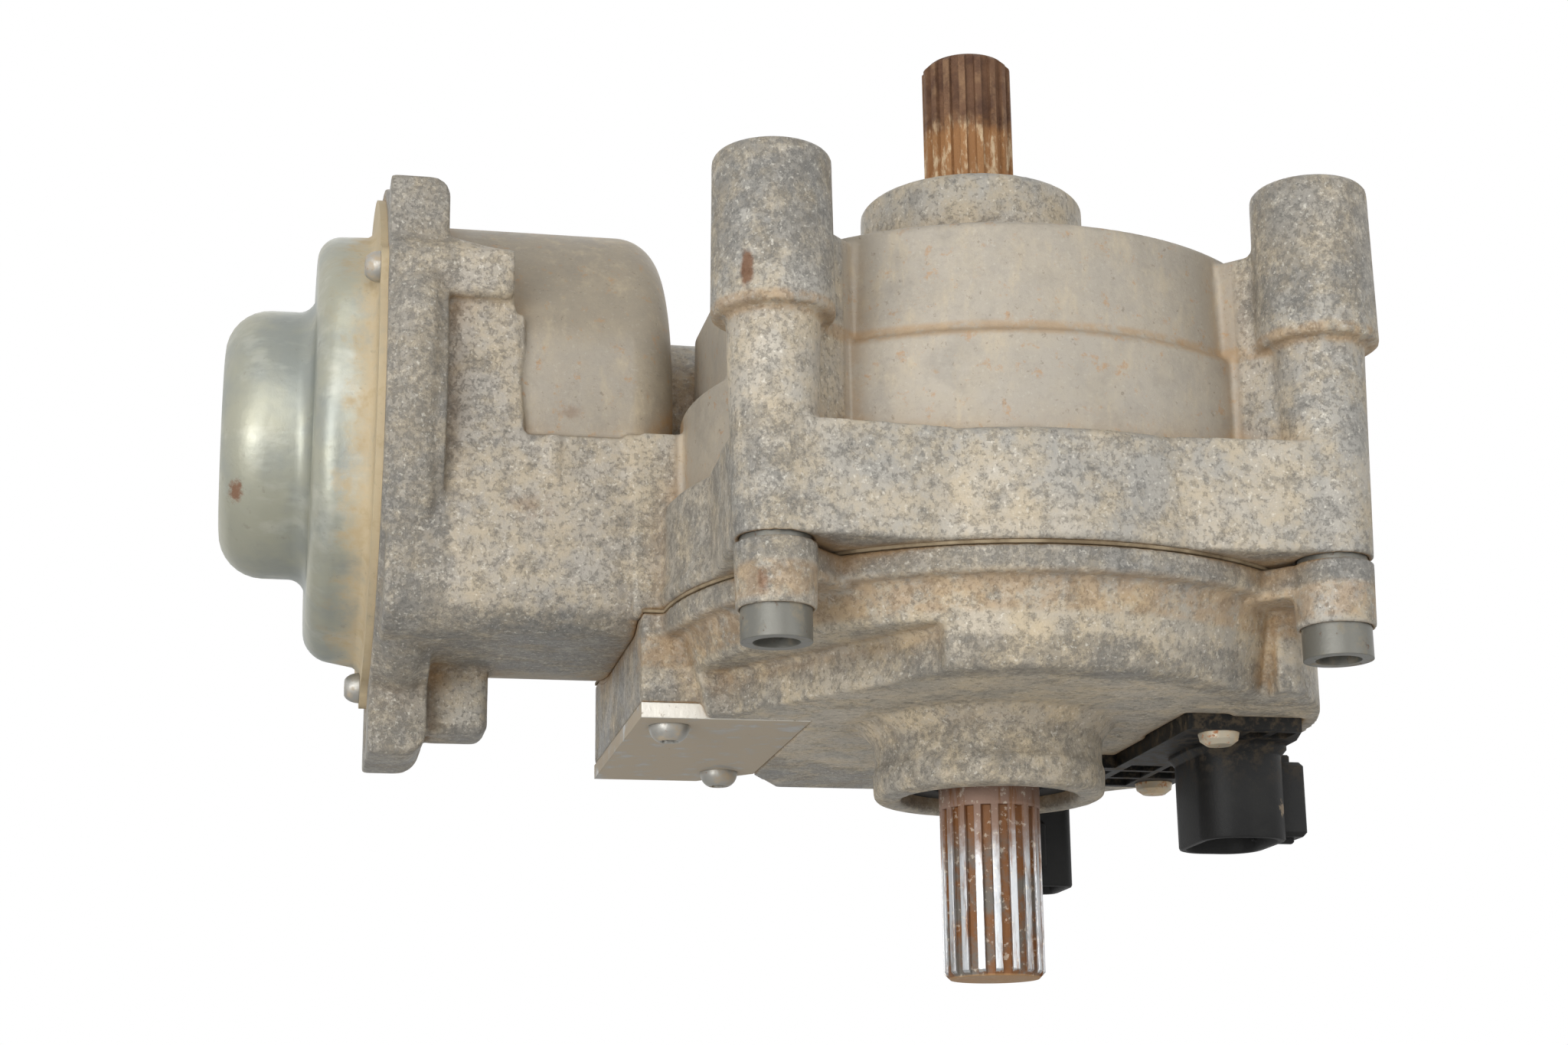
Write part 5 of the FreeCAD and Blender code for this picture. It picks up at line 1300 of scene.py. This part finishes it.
@dataclass
class Sockets(Assembly):
    """The two open plug sockets that hang from the connector base, with guide ribs and latches.

    Attributes:
        wall: Thickness of a shroud.
        seat: Height at which the shrouds meet the base.
        foot: Height of the lower edge of the shrouds' feet.
    """

    wall: float = 1.8
    seat: float = 52.5
    foot: float = 45.5

    def shroud(self, middle: tuple[float, float], width: float, length: float, corner: float,
               tip: float) -> Skin:
        """Tube on an oblong plan: out along the foot, down the outside, round the lip, up inside.

        Args:
            middle: Centre of the plan.
            width: Outer size along X.
            length: Outer size along Y.
            corner: Outer radius of the corners.
            tip: Height of the mouth.

        Returns:
            The surface.
        """
        plan = oblong(middle, width, length, corner, 10)
        outside = [(self.seat, -1.2), (self.foot + 0.8, -1.2), (self.foot, -0.5),
                   (self.foot - 0.6, 0.0), (tip + 0.5, 0.05), (tip + 0.12, 0.25), (tip, 0.7)]
        inside = [(tip + 0.1, self.wall - 0.4), (tip + 0.7, self.wall), (self.seat, self.wall)]
        return Skin.raised(plan, outside + inside, True)

    def build(self) -> None:
        """Make the sockets."""
        power = self.shroud((52.5, 5.5), 18.0, 25.0, 7.0, 27.7).joined(
            block((60.6, 0.7, 29.3), (67.4, 8.4, 44.6), 1.2),
            block((61.0, 3.6, 28.2), (65.4, 5.4, 46.5), 0.5),
            *[block((44.9, y, 29.6), (46.2, y + 1.1, 51.0), 0.3) for y in (1.5, 9.0)],
            *[block((58.8, y, 29.6), (60.0, y + 1.1, 51.0), 0.3) for y in (0.0, 5.0, 10.0)])
        self.place("power_socket_shroud", power.mesh("power_socket_shroud"), Treatment.BLACK,
                   "black_plastic", "power_socket")
        signal = self.shroud((17.0, 35.5), 18.5, 15.0, 3.0, 22.0).joined(
            block((14.2, 26.0, 25.2), (19.8, 28.6, 35.6), 1.2),
            *[block((x, 29.6, 23.6), (x + 1.0, 30.6, 51.0), 0.3) for x in (12.0, 21.0)])
        self.place("signal_socket_shroud", signal.mesh("signal_socket_shroud"), Treatment.BLACK,
                   "black_plastic", "signal_socket")


@dataclass
class Screws(Assembly):
    """Screws with domed heads and a six-lobed recess.

    Attributes:
        lobes: Number of lobes in a recess.
        steps: Points around a screw.
    """

    lobes: int = 6
    steps: int = 48

    def screw(self, at: Triple, head_r: float, head_t: float, shank_r: float,
              length: float, along: str = "Z") -> Skin:
        """Screw seen from its head: dome, recess whose radius waves with the angle, and shank.

        Args:
            at: Centre of the joint face under the head.
            head_r: Radius of the head.
            head_t: Thickness of the head.
            shank_r: Radius of the shank.
            length: Length of the shank.
            along: Axis along which the shank runs.

        Returns:
            The surface.
        """
        swing = np.radians(np.linspace(6, 66, 9))
        dome = list(zip(head_r * np.cos(swing) ** 0.7, -head_t * np.sin(swing) / np.sin(swing[-1])))
        recess = head_r * 0.42
        rows = [(0.01, length), (shank_r - 0.4, length), (shank_r, length - 0.5), (shank_r, 0.0),
                (head_r, 0.0)] + dome + [(recess + 0.15, -head_t), (recess, -head_t + 0.25),
                                         (recess * 0.92, -head_t * 0.45), (0.01, -head_t * 0.42)]
        skin = Skin.turned(rows, (0, 0, 0), "Z", self.steps)
        ring = skin.points.reshape(len(rows), self.steps, 3)
        angle = np.linspace(0, 2 * np.pi, self.steps, endpoint=False)
        wave = 1.0 + 0.13 * np.cos(self.lobes * angle)
        ring[-3:-1, :, :2] *= wave[None, :, None]
        points = ring.reshape(-1, 3)
        if along == "X":
            points = points[:, (2, 0, 1)]
        return Skin(points + np.array(at, float), skin.faces)

    def build(self) -> None:
        """Make the plate screws and the end cover's screws."""
        plate = self.screw((-63.0, 8.0, 50.0), 4.1, 3.1, 2.45, 10.5).joined(
            self.screw((-44.0, 60.0, 50.0), 4.1, 3.1, 2.45, 10.5))
        self.place("plate_screw_pair", plate.mesh("plate_screw_pair"), Treatment.SCREW,
                   "fastener_steel", "plate_screws")
        spots = [(-122.5, WORM_Y + EAR_PITCH_R * math.cos(math.radians(a)),
                  WORM_Z + EAR_PITCH_R * math.sin(math.radians(a))) for a in EAR_ANGLES]
        pan = [self.screw(spot, 3.2, 3.1, 1.95, 15.5, "X") for spot in spots]
        self.place("cover_screw_set", pan[0].joined(*pan[1:]).mesh("cover_screw_set"),
                   Treatment.SCREW, "fastener_steel", "pan_screws")


@dataclass
class CarriedOver(Assembly):
    """CAD nodes whose shape is kept and that only get a finish."""

    def build(self) -> None:
        """Dress every remaining node."""
        self.dress(Treatment.INPUT, "input_shaft")
        self.dress(Treatment.OUTPUT, "output_shaft")
        self.dress(Treatment.PLATE, "underside_plate")
        self.dress(Treatment.SLEEVE, "mount_sleeves")
        self.dress(Treatment.SCREW, "case_bolts", "board_screws", "lower_bearing_clip")
        self.dress(Treatment.RUSTED_SCREW, "module_screws")
        self.dress(Treatment.STEEL, "torsion_bar", "torsion_bar_pin", "wheel_hub", "worm_shaft")
        self.dress(Treatment.BEARING, *[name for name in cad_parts
                                        if "bearing_" in name and not name.endswith("clip")])
        self.dress(Treatment.RUBBER, "lower_seal", "upper_seal")
        self.dress(Treatment.SEALANT, "case_gasket")
        self.dress(Treatment.POLYMER, "wheel_rim")
        self.dress(Treatment.CORE, "stator_core", "rotor_core", "resolver_rotor")
        self.dress(Treatment.RING, "sensor_ring_output", "sensor_ring_input")
        self.dress(Treatment.WINDING, "stator_windings", "resolver_stator", "sensor_coils")
        self.dress(Treatment.COPPER, "phase_bars", "board_terminals")
        self.dress(Treatment.MAGNET, "rotor_magnets")
        self.dress(Treatment.BLACK, "connector_base", "terminal_block")
        self.dress(Treatment.BOARD, "control_board")
        self.dress(Treatment.COMPONENT, "board_components")
        self.dress(Treatment.TIN, "power_terminals", "signal_terminals")
        self.dress(Treatment.BARE_CAST, "motor_end_shield")


@dataclass
class Studio:
    """Pale floor, soft lamps and the camera at the photograph's angle.

    Attributes:
        turn: Turn of the view about Z in degrees, from looking along Y.
        tilt: Upward tilt of the view in degrees.
        roll: Roll of the frame in degrees.
        eye: Place of the camera in metres.
        focal_px: Focal length in pixels of an image 2048 pixels wide.
        floor_z: Height of the floor in metres.
        ambient: Strength of the light from all round.
    """

    turn: float = -11.453
    tilt: float = 15.13
    roll: float = 0.69
    eye: Triple = (-0.1414, -0.4961, -0.0462)
    focal_px: float = 3405.1
    floor_z: float = -0.15
    ambient: float = 0.34

    def camera(self) -> None:
        """Add the camera."""
        turn, tilt, roll = (math.radians(a) for a in (self.turn, self.tilt, self.roll))
        ahead = Vector((-math.sin(turn) * math.cos(tilt), math.cos(turn) * math.cos(tilt),
                        math.sin(tilt)))
        level = Vector((math.cos(turn), math.sin(turn), 0.0))
        above = level.cross(ahead)
        right = level * math.cos(roll) - above * math.sin(roll)
        up = level * math.sin(roll) + above * math.cos(roll)
        lens = bpy.data.cameras.new("camera")
        lens.sensor_width = 36.0
        lens.lens = self.focal_px / 2048.0 * 36.0
        lens.clip_start = 0.01
        obj = bpy.data.objects.new("camera", lens)
        obj.matrix_world = Matrix((right, up, -ahead)).transposed().to_4x4()
        obj.matrix_world.translation = Vector(self.eye)
        bpy.context.scene.collection.objects.link(obj)
        bpy.context.scene.camera = obj

    def lamp(self, name: str, at: Triple, size: float, power: float) -> None:
        """Add a square soft lamp that faces the unit.

        Args:
            name: Name of the lamp.
            at: Place in metres.
            size: Side of the lamp in metres.
            power: Power in watts.
        """
        light = bpy.data.lights.new(name, "AREA")
        light.size = size
        light.energy = power
        obj = bpy.data.objects.new(name, light)
        obj.location = at
        obj.rotation_euler = (Vector((-0.03, 0.0, 0.1)) - Vector(at)).to_track_quat(
            "-Z", "Y").to_euler()
        bpy.context.scene.collection.objects.link(obj)

    def backdrop_share(self, tree: bpy.types.NodeTree) -> bpy.types.NodeSocket:
        """One for camera, glossy and transmission rays and zero for the rest."""
        path = tree.nodes.new("ShaderNodeLightPath")
        total = path.outputs["Is Camera Ray"]
        for name in ("Is Glossy Ray", "Is Transmission Ray"):
            most = tree.nodes.new("ShaderNodeMath")
            most.operation = "MAXIMUM"
            tree.links.new(total, most.inputs[0])
            tree.links.new(path.outputs[name], most.inputs[1])
            total = most.outputs[0]
        return total

    def world(self) -> None:
        """White behind the unit, softer light all round."""
        world = bpy.data.worlds.new("studio")
        bpy.context.scene.world = world
        world.use_nodes = True
        tree = world.node_tree
        strength = tree.nodes.new("ShaderNodeMapRange")
        strength.inputs["To Min"].default_value = self.ambient
        strength.inputs["To Max"].default_value = 1.0
        tree.links.new(self.backdrop_share(tree), strength.inputs["Value"])
        tree.nodes["Background"].inputs["Color"].default_value = (1.0, 1.0, 1.0, 1.0)
        tree.links.new(strength.outputs[0], tree.nodes["Background"].inputs["Strength"])

    def floor(self) -> None:
        """Pale floor well below the unit: a wide disc."""
        angle = np.linspace(0, 2 * np.pi, 64, endpoint=False)
        points = np.column_stack([np.cos(angle) * 1.6, np.sin(angle) * 1.6,
                                  np.full(64, self.floor_z)])
        mesh = bpy.data.meshes.new("floor")
        mesh.from_pydata(points.tolist(), [], [list(range(64))])
        obj = add_object("floor", mesh)
        graph = ShaderGraph("pale_floor")
        cloud = graph.noise(160.0, 2.0)
        mesh.materials.append(graph.finish(
            Base_Color=graph.mix(cloud, (0.86, 0.86, 0.855), (0.9, 0.9, 0.895)),
            Roughness=0.8 + cloud * 0.1))

    def build(self) -> None:
        """Set the stage."""
        bpy.context.scene.view_settings.view_transform = "Standard"
        self.camera()
        self.world()
        self.floor()
        for name, at, size, power in (("key", (-0.4, -1.1, 0.5), 0.8, 4.9),
                                      ("fill", (0.7, -0.95, 0.3), 0.9, 2.6),
                                      ("low", (-0.75, -0.75, -0.12), 0.55, 8.4),
                                      ("back", (0.2, 1.2, 0.7), 1.0, 4.0)):
            self.lamp(name, at, size, power)


def main() -> None:
    """Build the unit, report each piece and set the stage."""
    logging.basicConfig(level=logging.INFO, format="%(name)s %(message)s")
    wardrobe = Wardrobe()
    for assembly in (Castings, EndCover, Sockets, Screws, CarriedOver):
        assembly(wardrobe).build()
        log.info("%s done", assembly.__name__)
    Studio().build()
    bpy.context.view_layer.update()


if __name__ == "__main__":
    main()
